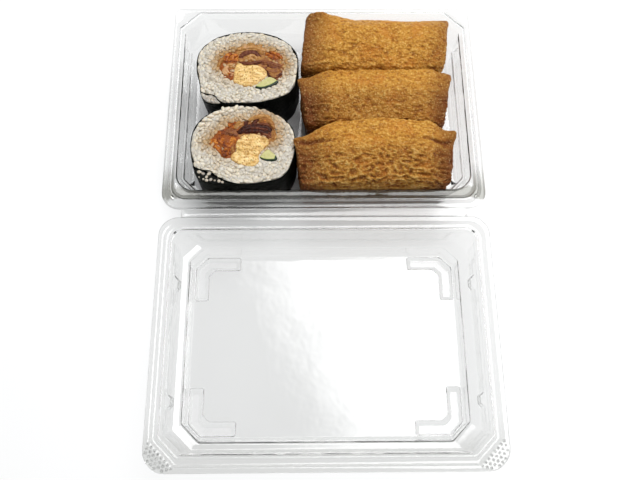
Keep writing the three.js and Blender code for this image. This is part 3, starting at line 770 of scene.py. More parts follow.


# ---- Rolls ----

# Places on a roll's cut face are measured from its middle. "bulges" are the directions in degrees in
# which it is pressed out, and how far. "seam" is the inner end of the seaweed, "bed" the saucy ground
# under the fillings, "rind" the cucumber's skin, "streak" a line of sauce on the rice, and "stray"
# the loose grains. "stain" is how much sauce the rice took up, "fibrous" how ridged the egg is, and
# "wedge_shade" how purple the rice outside the seam is. Where "open_wedge" is true, that rice stands
# on end over a dark flap of seaweed, which paints the shade in the gaps between its grains. A strand
# is its tone, its width and its path.
ROLLS = [
    {
        "name": "back", "x": -39.2, "y": 80.9, "half_x": 26.6, "half_y": 21.9, "top": 28.6,
        "seed": 11, "phase": 0.4, "stain": 0.95, "fibrous": 0.4, "wedge_shade": 0.6, "open_wedge": False,
        "bulges": [(230, 4.4), (325, 1.9)],
        "seam": [(-5, -22.6), (-11, -21.6), (-14.2, -19.6), (-16, -17.2), (-19.6, -16.4), (-23.2, -15.2)],
        "bed": [(-15.2, 1.5), (-13.5, 6), (-9.5, 9.2), (-4, 11), (2, 11.6), (8.5, 10.6), (14, 8.4),
                (18.4, 5), (19.6, -1), (18, -6.5), (14.5, -8.2), (9, -7), (0, -7), (-8, -8.2),
                (-12, -7), (-14.2, -2.5)],
        "egg": [(-6.7, -1.8), (-5.3, 1.4), (-3.4, 1.8), (-1.5, 0.5), (2.7, 0.9), (6.9, 0), (9.8, -2.4),
                (10.6, -5), (9.4, -7.4), (7, -9.2), (4.4, -11.2), (-0.3, -12.2), (-3.4, -11),
                (-6.8, -9.4), (-6.8, -5.7)],
        "cucumber": [(4.4, -12.2), (6.2, -10.2), (8.8, -8.2), (11.2, -6.6), (13.4, -6.9), (15.2, -8.1),
                     (16.6, -9.4), (14.4, -11.2), (11, -12.9), (7.4, -13.6), (4.8, -13.2)],
        "rind": [(3.8, -13.2), (7.4, -14), (11, -13.2), (14.4, -11.5), (17.4, -9)],
        "carrot": [
            [(-14.6, 1), (-13.4, 1.8), (-12, 0), (-11.4, -1.8), (-12.8, -2)],
            [(-9.8, -3.4), (-6.9, -3.4), (-6.9, -7.2), (-8.6, -7.8), (-10, -6)],
        ],
        "carrot_strips": [
            (0.4, 2.2, [(-11.4, 2.7), (-10, 6.3), (-8.6, 8.5)]),
            (0.8, 2.4, [(-8.4, 2.6), (-7, 5.9), (-5.5, 7)]),
            (0.5, 1.8, [(-9.9, 1.8), (-7.6, 3.6), (-5, 4)]),
            (0.2, 2.0, [(9.4, 8.1), (12.9, 5.6), (16, 4.4)]),
            (0.35, 1.8, [(11.3, 9), (15.2, 7.4), (18.2, 4.4)]),
        ],
        "gourd": [
            (1.0, 2.0, [(-9.6, 1), (-11.2, -1.6), (-10.4, -4.4), (-7.4, -4.8)]),
            (0.95, 1.6, [(-10.9, 0.5), (-8.7, 1.1), (-6.4, 0.9)]),
            (0.7, 1.8, [(-15.1, -0.8), (-14.5, 2.7), (-12.3, 5.4)]),
            (0.3, 2.2, [(-4.2, 5.4), (-1.2, 8.2), (3.7, 8.1), (6, 5.4)]),
            (0.2, 1.6, [(-4.4, 3.1), (0.8, 1.8), (4.6, 2.2), (8.4, 3.1)]),
            (0.85, 1.5, [(-2.4, 5.4), (0.7, 5.8), (2.9, 6.7), (5.3, 4.5)]),
            (0.75, 1.4, [(-1.6, 4), (1.9, 4.5), (4.5, 3.6)]),
            (0.05, 1.2, [(0.6, 9.9), (3.6, 9), (6.8, 5.8)]),
            (0.74, 2.4, [(-5.7, 10.2), (0.5, 11.4), (4.3, 11.6), (9.6, 9.6)]),
            (0.66, 2.0, [(2.9, 10.1), (5.9, 9.7), (8.3, 7.6)]),
            (0.4, 2.0, [(10.2, 0.6), (13.4, -0.5), (16.6, 0.2)]),
            (0.6, 2.4, [(9.6, -1.4), (13.4, -3.1), (16.8, -1.8)]),
            (0.65, 2.2, [(10.4, -4), (14.2, -5.3), (17.6, -3.6)]),
            (0.5, 2.0, [(6.8, 2.7), (10.7, 2.2), (14.5, 0.9), (18.3, 0)]),
            (0.1, 1.1, [(9.8, -0.5), (11.7, -5.3), (14.4, -8)]),
            (0.15, 1.2, [(12.7, -7.5), (16.1, -5.8), (19.2, -2.7)]),
            (0.1, 1.4, [(11.4, 3.1), (13.3, 1.3), (15.6, 0.9)]),
        ],
        "streak": [(-2.5, 12.6), (3, 13.4), (7.5, 12.6)],
        "stray": [],
    },
    {
        "name": "front", "x": -40.3, "y": 36.0, "half_x": 26.5, "half_y": 22.3, "top": 28.2,
        "seed": 29, "phase": 2.1, "stain": 0.85, "fibrous": 1.0, "wedge_shade": 0.75, "open_wedge": True,
        "bulges": [(228, 2.4), (315, 1.6)],
        "seam": [(-1, -22.2), (-5.5, -20.8), (-9.4, -19.3), (-13.3, -17), (-15.2, -14.9), (-19.6, -14.3),
                 (-24, -12.4)],
        "bed": [(-17.2, 1.4), (-14.4, 6.2), (-10.2, 9.4), (-7.5, 12.8), (-3.8, 13.4), (2, 13.8),
                (7, 16), (12, 16.2), (15.4, 12), (17, 6), (15.6, 1), (12, -1), (8, -2), (0, -6),
                (-5, -8), (-9.4, -7.4), (-12, -5.6), (-15.4, -1.8)],
        "egg": [(-3.2, -3.8), (-3.4, -0.6), (-2.4, 2.3), (-0.2, 4.7), (3.4, 5.7), (7.4, 5.3),
                (12.4, 3.0), (13.0, 0.0), (10.4, -3.2), (8.3, -6.7), (8.5, -9.5), (6.4, -12),
                (2.8, -12.1), (-1.2, -10.9), (-4.9, -9), (-5.8, -6.7)],
        "cucumber": [(8.8, -7.7), (10.2, -5.1), (12.7, -3.1), (15.3, -5.1), (17.1, -7.1),
                     (16.8, -9.1), (12.8, -9.5)],
        "rind": [(8.4, -8.7), (11.4, -9.8), (14.6, -9.9), (16.9, -9.5), (17.6, -7.5)],
        "carrot": [
            [(-13.3, 6.6), (-11.3, 8.9), (-8.9, 8.3), (-8.9, 5.8), (-11.6, 5)],
            [(-7.6, 9.7), (-7.1, 12.8), (-4.9, 13.3), (-3.2, 11.4), (-3.5, 9.1), (-5.5, 8.7)],
            [(-6.9, 0.5), (-6.2, 3.7), (-3.9, 3.7), (-2.9, 1.5), (-4.8, -0.8)],
            [(-12.8, 2.7), (-11.2, 4.6), (-8.2, 3.7), (-6.7, 1.1), (-8.1, -0.8), (-11, 0.5)],
            [(-17.2, 1.3), (-15.9, 2.9), (-13.3, 2.9), (-12.1, 0.7), (-13.9, -0.4)],
            [(-11.7, -4.6), (-10.2, -2.8), (-7, -3.6), (-6.4, -5.8), (-8.6, -7), (-10.7, -6.6)],
        ],
        "carrot_strips": [
            (0.1, 2.0, [(-11, 0.3), (-8.1, -1.2), (-5.1, -1.6)]),
            (0.15, 1.6, [(-10.4, -0.8), (-8.2, -2.6), (-5.8, -3)]),
            (0.7, 1.6, [(-13.9, -0.7), (-12, -2.6), (-11.2, -4.2)]),
            (0.3, 1.4, [(-8.1, -1), (-6.9, -3), (-6.4, -5.4)]),
            (0.6, 1.6, [(8.4, 12.4), (11.3, 12.8), (13.4, 11.3)]),
        ],
        "gourd": [
            (0.45, 2.4, [(-9.1, 5.8), (-7, 7.6), (-4.2, 6.2), (-2.4, 5.2)]),
            (0.4, 1.8, [(-8.4, 8.1), (-6.1, 6.4), (-3.2, 7.4)]),
            (0.6, 1.3, [(-5.2, -0.6), (-4.4, -3), (-5, -5.4)]),
            (0.5, 1.2, [(-4.2, 1.1), (-3.6, -1.4), (-3.9, -3.8)]),
            (0.05, 2.4, [(-2.5, 6), (0.4, 8.5), (4, 9.7), (8.1, 9.6), (11.7, 9.6), (14.3, 7.4)]),
            (0.12, 2.2, [(-1.4, 6.4), (3.3, 7.6), (7.7, 7.4), (11.4, 6.3), (13.7, 3.5)]),
            (0.3, 1.3, [(1.8, 8.4), (5.9, 8.6), (9.6, 8.3), (13.2, 8.4)]),
            (0.35, 1.5, [(8.6, 6.4), (12.2, 5.1), (14.8, 3)]),
            (0.25, 1.3, [(3.4, 10.6), (7, 10.9), (10.4, 10.4)]),
            (0.02, 1.5, [(1.3, 13.5), (1, 11.4), (0.9, 9.3)]),
            (0.05, 1.5, [(6.8, 14.7), (6.2, 12.6), (4, 10.5)]),
            (0.3, 1.6, [(7.7, 10.9), (10.6, 11.3), (13.6, 10.5)]),
            (0.75, 2.0, [(2.4, 13.6), (6.8, 15.4), (11.2, 15.8), (13.9, 14)]),
            (0.62, 2.0, [(7.6, 13.4), (10.9, 13.8), (14.3, 11.7), (15.8, 8.4)]),
            (0.85, 2.0, [(-4.6, 9), (-2.4, 11.4), (-1, 12.4)]),
            (0.75, 2.0, [(15.4, 7), (15.6, 4), (13.4, 1.4)]),
        ],
        "streak": [(-13.8, -4.8), (-13.4, -8.4), (-12.6, -12.4)],
        "stray": [(-20.4, 14.6), (-17.6, 16.9), (-15.2, 19.0), (-12.2, 19.6), (-9.0, 21.4),
                  (-6.8, 20.4), (-22.6, 11.6), (-4.2, 22.2), (-18.9, 14.6), (-11.2, 21.4)],
    },
]

ROLL_STEPS = 132
SQUARENESS = 2.25  # 2 would be a plain oval
BULGE_SPREAD = 18.0  # degrees from a bulge's middle to where it has mostly faded
BULGE_BELOW = 0.4  # share of a bulge that is left at the floor
NORI_STEPS = 18
GRAIN = {"length": 2.25, "width": 1.05, "height": 1.0}  # half sizes
GRAIN_TRIES = 8500
GRAINS_APART = 1.6
ON_END_APART = 1.75  # for grains that stand on end
GRAIN_LAYERS = ((-0.95, 0.2), (-0.5, 0.3))  # the height over the cut of each, and its spread
CORE = {"inset_below": 0.9, "inset_above": 1.6, "depth": 0.55, "tone": 0.4}
STRAND_STRIPS = ((1.0, 0.0), (0.6, 0.45), (0.55, -0.5))  # shares of the width: size and offset
STRIP_SIDES = 10


def half_sizes(roll, angle, inset, bulging=1.0):
    """A roll's half sizes towards an angle: slow waves, and bulges where it is pressed out."""
    wave = 1 + 0.012 * math.sin(3 * angle + roll["phase"]) + 0.008 * math.sin(5 * angle)
    turned = math.degrees(angle) % 360
    bulge = sum(out * math.exp(-((turned - at) / BULGE_SPREAD) ** 2) for at, out in roll["bulges"])
    out = bulging * bulge - inset
    return roll["half_x"] * wave + out, roll["half_y"] * wave + out


def roll_outline(roll, inset, bulging=1.0):
    """A roll's outline at an inset: a squarish oval."""
    points = []
    for i in range(ROLL_STEPS):
        angle = i / ROLL_STEPS * math.tau
        c, s = math.cos(angle), math.sin(angle)
        half_x, half_y = half_sizes(roll, angle, inset, bulging)
        points.append(Vector((roll["x"] + half_x * math.copysign(abs(c) ** (2 / SQUARENESS), c),
                              roll["y"] + half_y * math.copysign(abs(s) ** (2 / SQUARENESS), s))))
    return points


def hold_inside(roll, place, inset):
    """Keeps a place within a roll's outline."""
    x, y = place.x - roll["x"], place.y - roll["y"]
    c = abs(x / roll["half_x"]) ** (SQUARENESS / 2)
    s = abs(y / roll["half_y"]) ** (SQUARENESS / 2)
    half_x, half_y = half_sizes(roll, math.atan2(math.copysign(s, y), math.copysign(c, x)), inset)
    reach = (abs(x / half_x) ** SQUARENESS + abs(y / half_y) ** SQUARENESS) ** (1 / SQUARENESS)
    if reach > 1.0:
        place.x = roll["x"] + x / reach
        place.y = roll["y"] + y / reach


def from_middle(roll, places):
    """Places measured from the middle of a roll, in the tray's frame."""
    middle = Vector((roll["x"], roll["y"]))
    return [middle + Vector(place) for place in places]


def filling_outline(roll, places):
    """A filling's smooth outline, anticlockwise, in the tray's frame."""
    points = curve_through(from_middle(roll, places), 7)
    area = sum(a.cross(b) for a, b in zip(points, points[1:] + points[:1]))
    return points if area > 0 else points[::-1]


def is_inside(outline, x, y):
    """Whether a place lies within a closed line of points."""
    inside = False
    for a, b in zip(outline, outline[1:] + outline[:1]):
        if (a.y > y) != (b.y > y) and x < (b.x - a.x) * (y - a.y) / (b.y - a.y) + a.x:
            inside = not inside
    return inside


def distance_to_line(points, x, y):
    """The distance from a place to a line of points."""
    here = Vector((x, y))
    nearest = 1e9
    for a, b in zip(points, points[1:]):
        along = b - a
        t = min(max((here - a).dot(along) / max(along.length_squared, 1e-9), 0.0), 1.0)
        nearest = min(nearest, (here - a - along * t).length)
    return nearest


def nori_sheet(roll):
    """The seaweed skin of a roll and its end that turns into the rice. Where the wedge is open, a dark
    flap under its grains paints the shade in the gaps between them.
    """
    bm = bmesh.new()
    tall = roll["top"] - 0.3
    middle = Vector((roll["x"], roll["y"]))
    rings = []
    for i in range(NORI_STEPS + 1):
        height = FOOD_FLOOR + (tall - FOOD_FLOOR) * i / NORI_STEPS
        ring = []
        for point in roll_outline(roll, 0.0, BULGE_BELOW + (1 - BULGE_BELOW) * i / NORI_STEPS):
            out = (point - middle).normalized()
            ripple = noise.noise(Vector((point.x * 0.16, point.y * 0.16, height * 0.05)))
            crumple = noise.noise(Vector((point.x * 0.5, point.y * 0.5, height * 0.22)))
            push = -0.28 + 0.22 * ripple + 0.08 * crumple
            lift = 0.35 * noise.noise(Vector((point.x * 0.35, point.y * 0.35, 7.0)))
            lift *= i == NORI_STEPS
            ring.append(Vector((point.x + out.x * push, point.y + out.y * push, height + lift)))
        rings.append(ring)
    loft(bm, rings)
    tail = curve_through(from_middle(roll, roll["seam"]), 6, closed=False)
    rings = []
    for height in (tall - 5.0, tall - 2.0, tall + 0.6):
        rings.append([Vector((p.x, p.y, height + 0.25 * noise.noise(Vector((p.x, p.y, 3.0)))))
                      for p in tail])
    loft(bm, rings, closed=False)
    # A dark flap of seaweed under the grains that stand on end: painted shade in the gaps between them.
    if roll["open_wedge"]:
        painted_shade_flap = [Vector((p.x, p.y, roll["top"] - 0.8)) for p in wedge_outline(roll, tail)]
        loft(bm, [painted_shade_flap], cap_end=True)
    return outward(bm)


def wedge_outline(roll, tail):
    """The outline of the wedge of rice between the sheet's inner end and its outside."""
    def angle(point):
        return math.atan2(point.y - roll["y"], point.x - roll["x"])

    start, end = angle(tail[-1]), angle(tail[0])
    return tail + [point for point in roll_outline(roll, 0.8) if start < angle(point) < end]


def cut_flush(roll, place):
    """Brings what stands above the knife's cut down almost to it."""
    level = roll["top"] + 0.1 + 0.5 * noise.noise(Vector((place.x / 4, place.y / 4, roll["seed"])))
    if place.z > level:
        place.z = level + (place.z - level) * 0.2


def grain_at(bm, roll, layers, place, turn, size, marks, flush=True):
    """One cooked grain: a plump, slightly bent ellipsoid, cut off where it meets the knife."""
    made = bmesh.ops.create_icosphere(bm, subdivisions=2, radius=1.0)["verts"]
    rotation = turn.to_matrix()
    for vert in made:
        x, y, z = vert.co
        plump = 1.0 + 0.12 * x
        local = Vector((x * GRAIN["length"], y * GRAIN["width"] * plump,
                        z * GRAIN["height"] - 0.28 * x * x + 0.14))
        vert.co = place + rotation @ (local * size)
        if flush:
            cut_flush(roll, vert.co)
            hold_inside(roll, vert.co, 0.75)
        for layer, value in zip(layers, marks):
            vert[layer] = value


def rice_heap(roll):
    """The rice of a roll: a core under a cut face of whole grains, pressed together two deep."""
    bm = bmesh.new()
    layers = [bm.verts.layers.float.new(name) for name in ("tone", "stain", "shade")]
    rng = random.Random(roll["seed"])
    top = roll["top"]
    foot = roll_outline(roll, CORE["inset_below"], BULGE_BELOW)
    crown = roll_outline(roll, CORE["inset_above"])
    low = [Vector((p.x, p.y, FOOD_FLOOR + 0.1)) for p in foot]
    high = [Vector((p.x, p.y, top - CORE["depth"])) for p in crown]
    loft(bm, [low, high], cap_start=True, cap_end=True)
    for vert in bm.verts:
        vert[layers[0]] = CORE["tone"]

    whole = [filling_outline(roll, places)
             for places in (roll["egg"], roll["cucumber"], *roll["carrot"])]
    bed = filling_outline(roll, roll["bed"])
    middle = Vector((roll["x"], roll["y"]))
    seam = from_middle(roll, roll["seam"])
    streak = from_middle(roll, roll["streak"])
    edge = roll_outline(roll, 1.2)

    def marks(x, y, in_bed):
        """The tone, stain and shade of a grain."""
        near = 0.0 if in_bed else min((Vector((x, y)) - point).length for point in bed)
        sauce = 1.0 - smooth_step(near, 0.5, 7.5)
        sauce = max(sauce, 1.2 - 1.2 * smooth_step(distance_to_line(streak, x, y), 0.4, 2.0))
        upper = smooth_step(y - roll["y"], -9.0, 1.0)
        stain = roll["stain"] * sauce * (0.3 + 0.7 * upper) * rng.uniform(0.75, 1.0)
        shade = roll["wedge_shade"] * rng.uniform(0.4, 1.0) if in_wedge(x, y) else 0.0
        return (rng.uniform(0.1, 1.0), stain, shade)

    def in_wedge(x, y):
        local = Vector((x, y)) - middle
        return local.x < -1.0 and local.y < seam_height(roll, local.x) - 0.4

    for layer, (depth, spread) in enumerate(GRAIN_LAYERS):
        placed = []
        for _ in range(GRAIN_TRIES):
            x = roll["x"] + rng.uniform(-1.05, 1.05) * roll["half_x"]
            y = roll["y"] + rng.uniform(-1.1, 1.05) * roll["half_y"]
            on_end = roll["open_wedge"] and in_wedge(x, y)
            apart = ON_END_APART if on_end else GRAINS_APART
            if any((x - a) ** 2 + (y - b) ** 2 < apart ** 2 for a, b in placed):
                continue
            if not is_inside(edge, x, y) or any(is_inside(piece, x, y) for piece in whole):
                continue
            in_bed = is_inside(bed, x, y)
            if (in_bed and rng.random() < 0.95) or distance_to_line(seam, x, y) < 0.9:
                continue
            if on_end and layer == 0:
                continue
            placed.append((x, y))
            steep = on_end or rng.random() < 0.35
            tilt = rng.uniform(0.7, 1.5) if steep else rng.gauss(0.0, 0.3)
            to_edge = min((Vector((x, y)) - point).length for point in edge)
            yaw = rng.uniform(0, math.pi)
            if to_edge < 2.0 and not on_end:
                yaw = math.atan2(y - roll["y"], x - roll["x"]) + math.pi / 2 + rng.gauss(0, 0.35)
                tilt *= 0.5
            height = top + depth + rng.gauss(0.0, spread) - 0.5 * steep - 0.5 * in_bed
            turn = Euler((rng.uniform(-0.4, 0.4), tilt, yaw))
            size = rng.uniform(0.82, 1.08) - 0.16 * on_end
            grain_at(bm, roll, layers, Vector((x, y, height)), turn, size, marks(x, y, in_bed))
    for x, y in roll["stray"]:
        turn = Euler((rng.uniform(-0.4, 0.4), rng.gauss(0.0, 0.4), rng.uniform(0, math.pi)))
        place = Vector((middle.x + x * 0.92, middle.y + y * 0.92, top + rng.uniform(-0.2, 0.5)))
        grain_at(bm, roll, layers, place, turn, 0.92, (0.9, 0.0, 0.0), flush=False)
    return outward(bm)


def seam_height(roll, x):
    """The height on the cut face of the sheet's inner end, at a distance across the roll."""
    seam = sorted(roll["seam"])
    for (x0, y0), (x1, y1) in zip(seam, seam[1:]):
        if x0 <= x <= x1:
            return y0 + (y1 - y0) * (x - x0) / (x1 - x0)
    return seam[0][1] if x < seam[0][0] else -99.0


# Each ring of a lump: its share of the outline and its height over the top.
LUMP_RINGS = [(1.0, -9.0), (1.0, -2.5), (1.0, -0.9), (0.99, -0.4), (0.965, -0.12), (0.93, 0.0),
              *[(0.93 - 0.062 * i, 0.0) for i in range(1, 15)]]


def lump(bm, outline, top, crown, relief, mark, lean=(0.0, 0.0)):
    """A cut piece of food: walls on an outline, a rounded edge and an uneven crown.
    relief gives the height added at a place, mark is a layer and a function of the place."""
    middle = sum(outline, Vector((0, 0))) / len(outline)
    rings = []
    for scale, drop in LUMP_RINGS:
        ring = []
        for point in outline:
            at = middle + (point - middle) * scale
            swell = crown * (1 - scale * scale) if drop == 0.0 else 0.0
            slant = (at.x - middle.x) * lean[0] + (at.y - middle.y) * lean[1]
            height = top + drop + swell + (slant + relief(at.x, at.y)) * (drop > -2.0)
            ring.append(Vector((at.x, at.y, height)))
        rings.append(ring)
    known = set(bm.verts)
    loft(bm, rings, cap_end=True)
    layer, value = mark
    for vert in bm.verts:
        if vert not in known:
            vert[layer] = value(vert.co.x, vert.co.y)


def rough(x, y, size, seed):
    """Fractal noise over the cut face, about -1 to 1."""
    return noise.fractal(Vector((x / size, y / size, seed * 7.3)), 0.9, 2.1, 3)


def egg_slice(roll):
    """Rolled omelette with ridges where its layers were folded."""
    bm = bmesh.new()
    tone = bm.verts.layers.float.new("tone")
    seed = roll["seed"]
    fibrous = roll["fibrous"]

    def relief(x, y):
        bent = x * 0.35 + y + 1.4 * noise.noise(Vector((x * 0.16, y * 0.16, seed)))
        layers = abs(noise.noise(Vector((x * 0.25, bent * 1.1, seed + 5.0))))
        return 0.75 * fibrous * (0.45 - 2.2 * layers) + 0.36 * rough(x, y, 1.4, seed)

    def toasted(x, y):
        edge = distance_to_line(outline + outline[:1], x, y)
        return (0.5 * (1.0 - smooth_step(edge, 0.2, 1.1))
                * smooth_step(noise.noise(Vector((x * 0.3, y * 0.3, seed))), -0.2, 0.4))

    outline = filling_outline(roll, roll["egg"])
    lump(bm, outline, roll["top"] + 0.5, 0.5, relief, (tone, toasted))
    return outward(bm)


def cucumber_stick(roll):
    """A cut cucumber stick with its rind on the outer side."""
    bm = bmesh.new()
    rind = bm.verts.layers.float.new("rind")
    skin = curve_through(from_middle(roll, roll["rind"]), 6, closed=False)
    lump(bm, filling_outline(roll, roll["cucumber"]), roll["top"] + 0.5, 0.2,
         lambda x, y: 0.12 * rough(x, y, 2.0, roll["seed"]),
         (rind, lambda x, y: 1.0 - smooth_step(distance_to_line(skin, x, y), 0.5, 2.4)))
    return outward(bm)


def strip(bm, path, width, thickness, tone, value):
    """A flat glossy strip along a path of places."""
    points = curve_through(path, 5, closed=False)
    rings = []
    for i, point in enumerate(points):
        before, after = points[max(i - 1, 0)], points[min(i + 1, len(points) - 1)]
        along = (after - before).normalized()
        across = along.cross(Vector((0, 0, 1))).normalized()
        up = across.cross(along)
        taper = math.sin(math.pi * (0.12 + 0.76 * i / (len(points) - 1))) ** 0.4
        swell = 1.0 + 0.45 * noise.noise(point * 0.7)
        turns = [k / STRIP_SIDES * math.tau for k in range(STRIP_SIDES)]
        rings.append([point + across * (math.cos(turn) * width / 2 * taper * swell)
                      + up * (math.sin(turn) * thickness / 2 * taper) for turn in turns])
    known = set(bm.verts)
    loft(bm, rings, cap_start=True, cap_end=True)
    for vert in bm.verts:
        if vert not in known:
            vert[tone] = value


def strand(bm, roll, rng, tone, value, width, places):
    """A strand of filling: one strip along its places and two thinner ones beside it."""
    for number, (share, offset) in enumerate(STRAND_STRIPS):
        start, end = Vector(places[0]), Vector(places[-1])
        aside = (end - start).orthogonal().normalized() * offset * width
        lift = rng.uniform(0.0, 0.35) - 0.25 * (number > 0)
        path = []
        for i, place in enumerate(places):
            x, y = Vector(place) + aside + Vector((rng.uniform(-0.4, 0.4), rng.uniform(-0.4, 0.4)))
            ends = i in (0, len(places) - 1)
            path.append(Vector((roll["x"] + x, roll["y"] + y,
                                roll["top"] + lift - 0.5 * ends + rng.uniform(-0.15, 0.15))))
        strip(bm, path, width * share, 0.7 + 0.25 * width * share, tone,
              min(max(value + rng.uniform(-0.1, 0.12), 0.0), 1.0))


def carrot_sticks(roll):
    """Ends and shreds of simmered carrot, each leaning its own way."""
    bm = bmesh.new()
    tone = bm.verts.layers.float.new("tone")
    rng = random.Random(roll["seed"] + 1)
    for number, places in enumerate(roll["carrot"]):
        lean = (rng.uniform(-0.2, 0.2), rng.uniform(-0.2, 0.2))
        shade = rng.uniform(0.0, 1.0)
        lump(bm, filling_outline(roll, places), roll["top"] + rng.uniform(-0.5, 0.1), 0.3,
             lambda x, y: 0.8 * rough(x, y, 1.7, number + roll["seed"]),
             (tone, lambda x, y: shade), lean)
    for value, width, places in roll["carrot_strips"]:
        strand(bm, roll, rng, tone, value, width, places)
    return outward(bm)


def gourd_strips(roll):
    """Simmered gourd and mushroom: glossy strands round the egg on a soft saucy bed."""
    bm = bmesh.new()
    tone = bm.verts.layers.float.new("tone")
    orange = bm.verts.layers.float.new("orange")
    carrots = [point for places in roll["carrot"] for point in filling_outline(roll, places)]
    rng = random.Random(roll["seed"] + 2)
    lump(bm, filling_outline(roll, roll["bed"]), roll["top"] - 0.25, 0.2,
         lambda x, y: 0.35 * rough(x, y, 2.0, roll["seed"]),
         (tone, lambda x, y: 0.62 + 0.3 * rough(x, y, 3.0, roll["seed"] + 3)))
    for vert in bm.verts:
        near = min((vert.co.xy - point).length for point in carrots)
        vert[orange] = 1.0 - smooth_step(near, 0.8, 3.0)
    for value, width, places in roll["gourd"]:
        strand(bm, roll, rng, tone, value, width, places)
    return outward(bm)


# ---- Fried tofu pouches ----

# "square" is how boxy a pouch's section is, "skew" how far its far side is shifted to the right,
# "shoulder" and "slope" how far its top falls towards the far and the near side, and "lean" how far
# both ends are drawn in at their foot. "wrinkles" and "crease" are the depth of its folds and of the
# long one on top, and "dusk" is painted shade: how much darker its left end, its right end and its
# front are painted, as if turned from the light.
# Each end is pinched into an upright fin. "from" and "to" are shares of the half length between
# which the body narrows to it, "back" is how far back it reaches, "drop" how much lower its top
# lies, "shoulder" the share of the pouch's shoulder left in it, and "taper" how far it is drawn in
# at the near side. The ear at its tip stands "out" and "up" at a share of the depth, from "ear_from"
# outwards.
POUCHES = [
    {"name": "back", "x": 27.3, "y": 93.8, "half_x": 37.8, "half_y": 15.7, "height": 36.2,
     "square": 6, "phase": 0.3, "skew": 2.1, "shoulder": 4.0, "slope": 5.0, "lean": 2.0,
     "wrinkles": 0.32, "crease": 0.0, "dusk": (0.8, 0.45, 0.0),
     "ends": (
         {"from": 0.3, "to": 0.66, "back": 1.0, "drop": 0.0, "shoulder": 0.0,
          "ear": 1.0, "ear_from": 0.62, "out": 1.0, "up": 5.2, "taper": 0.4},
         {"from": 0.75, "to": 0.95, "back": 1.0, "drop": 0.0, "shoulder": 1.0,
          "ear": 0.9, "ear_from": 0.8, "out": 1.2, "up": 1.2, "taper": 0.0})},
    {"name": "middle", "x": 26.2, "y": 62.1, "half_x": 38.0, "half_y": 15.1, "height": 36.4,
     "square": 8, "phase": 2.2, "skew": 0.0, "shoulder": 2.0, "slope": 5.4, "lean": 0.6,
     "wrinkles": 0.42, "crease": 0.15, "dusk": (0.7, 0.6, 0.34),
     "ends": (
         {"from": 0.6, "to": 0.92, "back": 0.72, "drop": 3.2, "shoulder": 0.3,
          "ear": 0.6, "ear_from": 0.84, "out": 2.8, "up": 0.8, "taper": 2.8},
         {"from": 0.7, "to": 0.94, "back": 0.82, "drop": 2.4, "shoulder": 0.3,
          "ear": 0.62, "ear_from": 0.84, "out": 2.2, "up": 2.2, "taper": 2.0})},
    {"name": "front", "x": 25.3, "y": 30.6, "half_x": 39.0, "half_y": 16.3, "height": 37.0,
     "square": 8, "phase": 4.1, "skew": 0.2, "shoulder": 0.5, "slope": 5.4, "lean": 0.0,
     "wrinkles": 0.85, "crease": 1.0, "dusk": (0.6, 0.65, 0.3),
     "ends": (
         {"from": 0.46, "to": 0.96, "back": 0.55, "drop": 3.6, "shoulder": 0.3,
          "ear": 0.45, "ear_from": 0.84, "out": 3.2, "up": 1.0, "taper": 2.7},
         {"from": 0.68, "to": 0.92, "back": 0.72, "drop": 3.4, "shoulder": 0.3,
          "ear": 0.56, "ear_from": 0.84, "out": 2.6, "up": 2.8, "taper": 1.8})},
]
SQUARE_ENDS = 14
# The sizes of what marks a pouch's skin, and the depths.
DENTS = {"size": 11.0, "depth": 0.5}
FOLDS = {"length": 4.4, "breadth": 2.3, "bend": 0.9, "bend_size": 6.0}
CRINKLE = {"size": 1.7, "depth": 0.34}
PITS = {"size": 1.5, "depth": 0.28}
CREASE_DEPTH = 1.3


def pouch_place(pouch, direction):
    """A pouch's surface in a direction from its middle, and its place across, along and up."""
    across, along, up = (abs(part) for part in direction)
    section = (along ** pouch["square"] + up ** pouch["square"]) ** (SQUARE_ENDS / pouch["square"])
    u, v, w = direction * (across ** SQUARE_ENDS + section) ** (-1 / SQUARE_ENDS)
    end = pouch["ends"][u > 0]
    pinch = smooth_step(abs(u), end["from"], end["to"])
    high = max(w, 0.0)
    if v > 0:
        v *= 1.0 - (1.0 - end["back"]) * pinch
    v -= 0.04 * math.sin(u * 3.1 + pouch["phase"]) * high
    shoulder = pouch["shoulder"] * (1.0 - (1.0 - end["shoulder"]) * pinch)
    drop = (end["drop"] * pinch + shoulder * smooth_step(v, 0.3, 1.0)
            + pouch["slope"] * smooth_step(-v, -0.1, 1.1)
            + 0.5 * (1.0 - math.cos(u * 2.6)))
    ear = smooth_step(abs(u), end["ear_from"], end["ear_from"] + 0.16)
    ear *= high ** 2 * math.exp(-((v - end["ear"]) / 0.3) ** 2)
    wave = 0.45 * math.sin(u * 7 + pouch["phase"]) * math.sin(v * 3 + w * 4 + pouch["phase"])
    half = pouch["height"] / 2
    lean = (pouch["lean"] * max(-w, 0.0) + end["taper"] * smooth_step(-v, -0.2, 1.0)) * abs(u) ** 3
    across = pouch["x"] + u * pouch["half_x"] + (ear * end["out"] - lean) * (1.0 if u > 0 else -1.0)
    across += pouch["skew"] * v + wave * direction.x
    limit = pouch["half_y"]
    along = pouch["y"] + v * limit + wave * direction.y
    along = min(max(along, pouch["y"] - limit), pouch["y"] + limit)
    up = FOOD_FLOOR + half + w * half - drop * high + ear * end["up"] + wave * max(direction.z, 0)
    return Vector((across, along, max(up, FOOD_FLOOR))), Vector((u, v, w))


def noise_towards(at):
    """Noise in each of three directions, the same on every run."""
    return Vector([noise.noise(at + Vector((apart, 0.0, 0.0))) for apart in (0.0, 31.7, 67.3)])


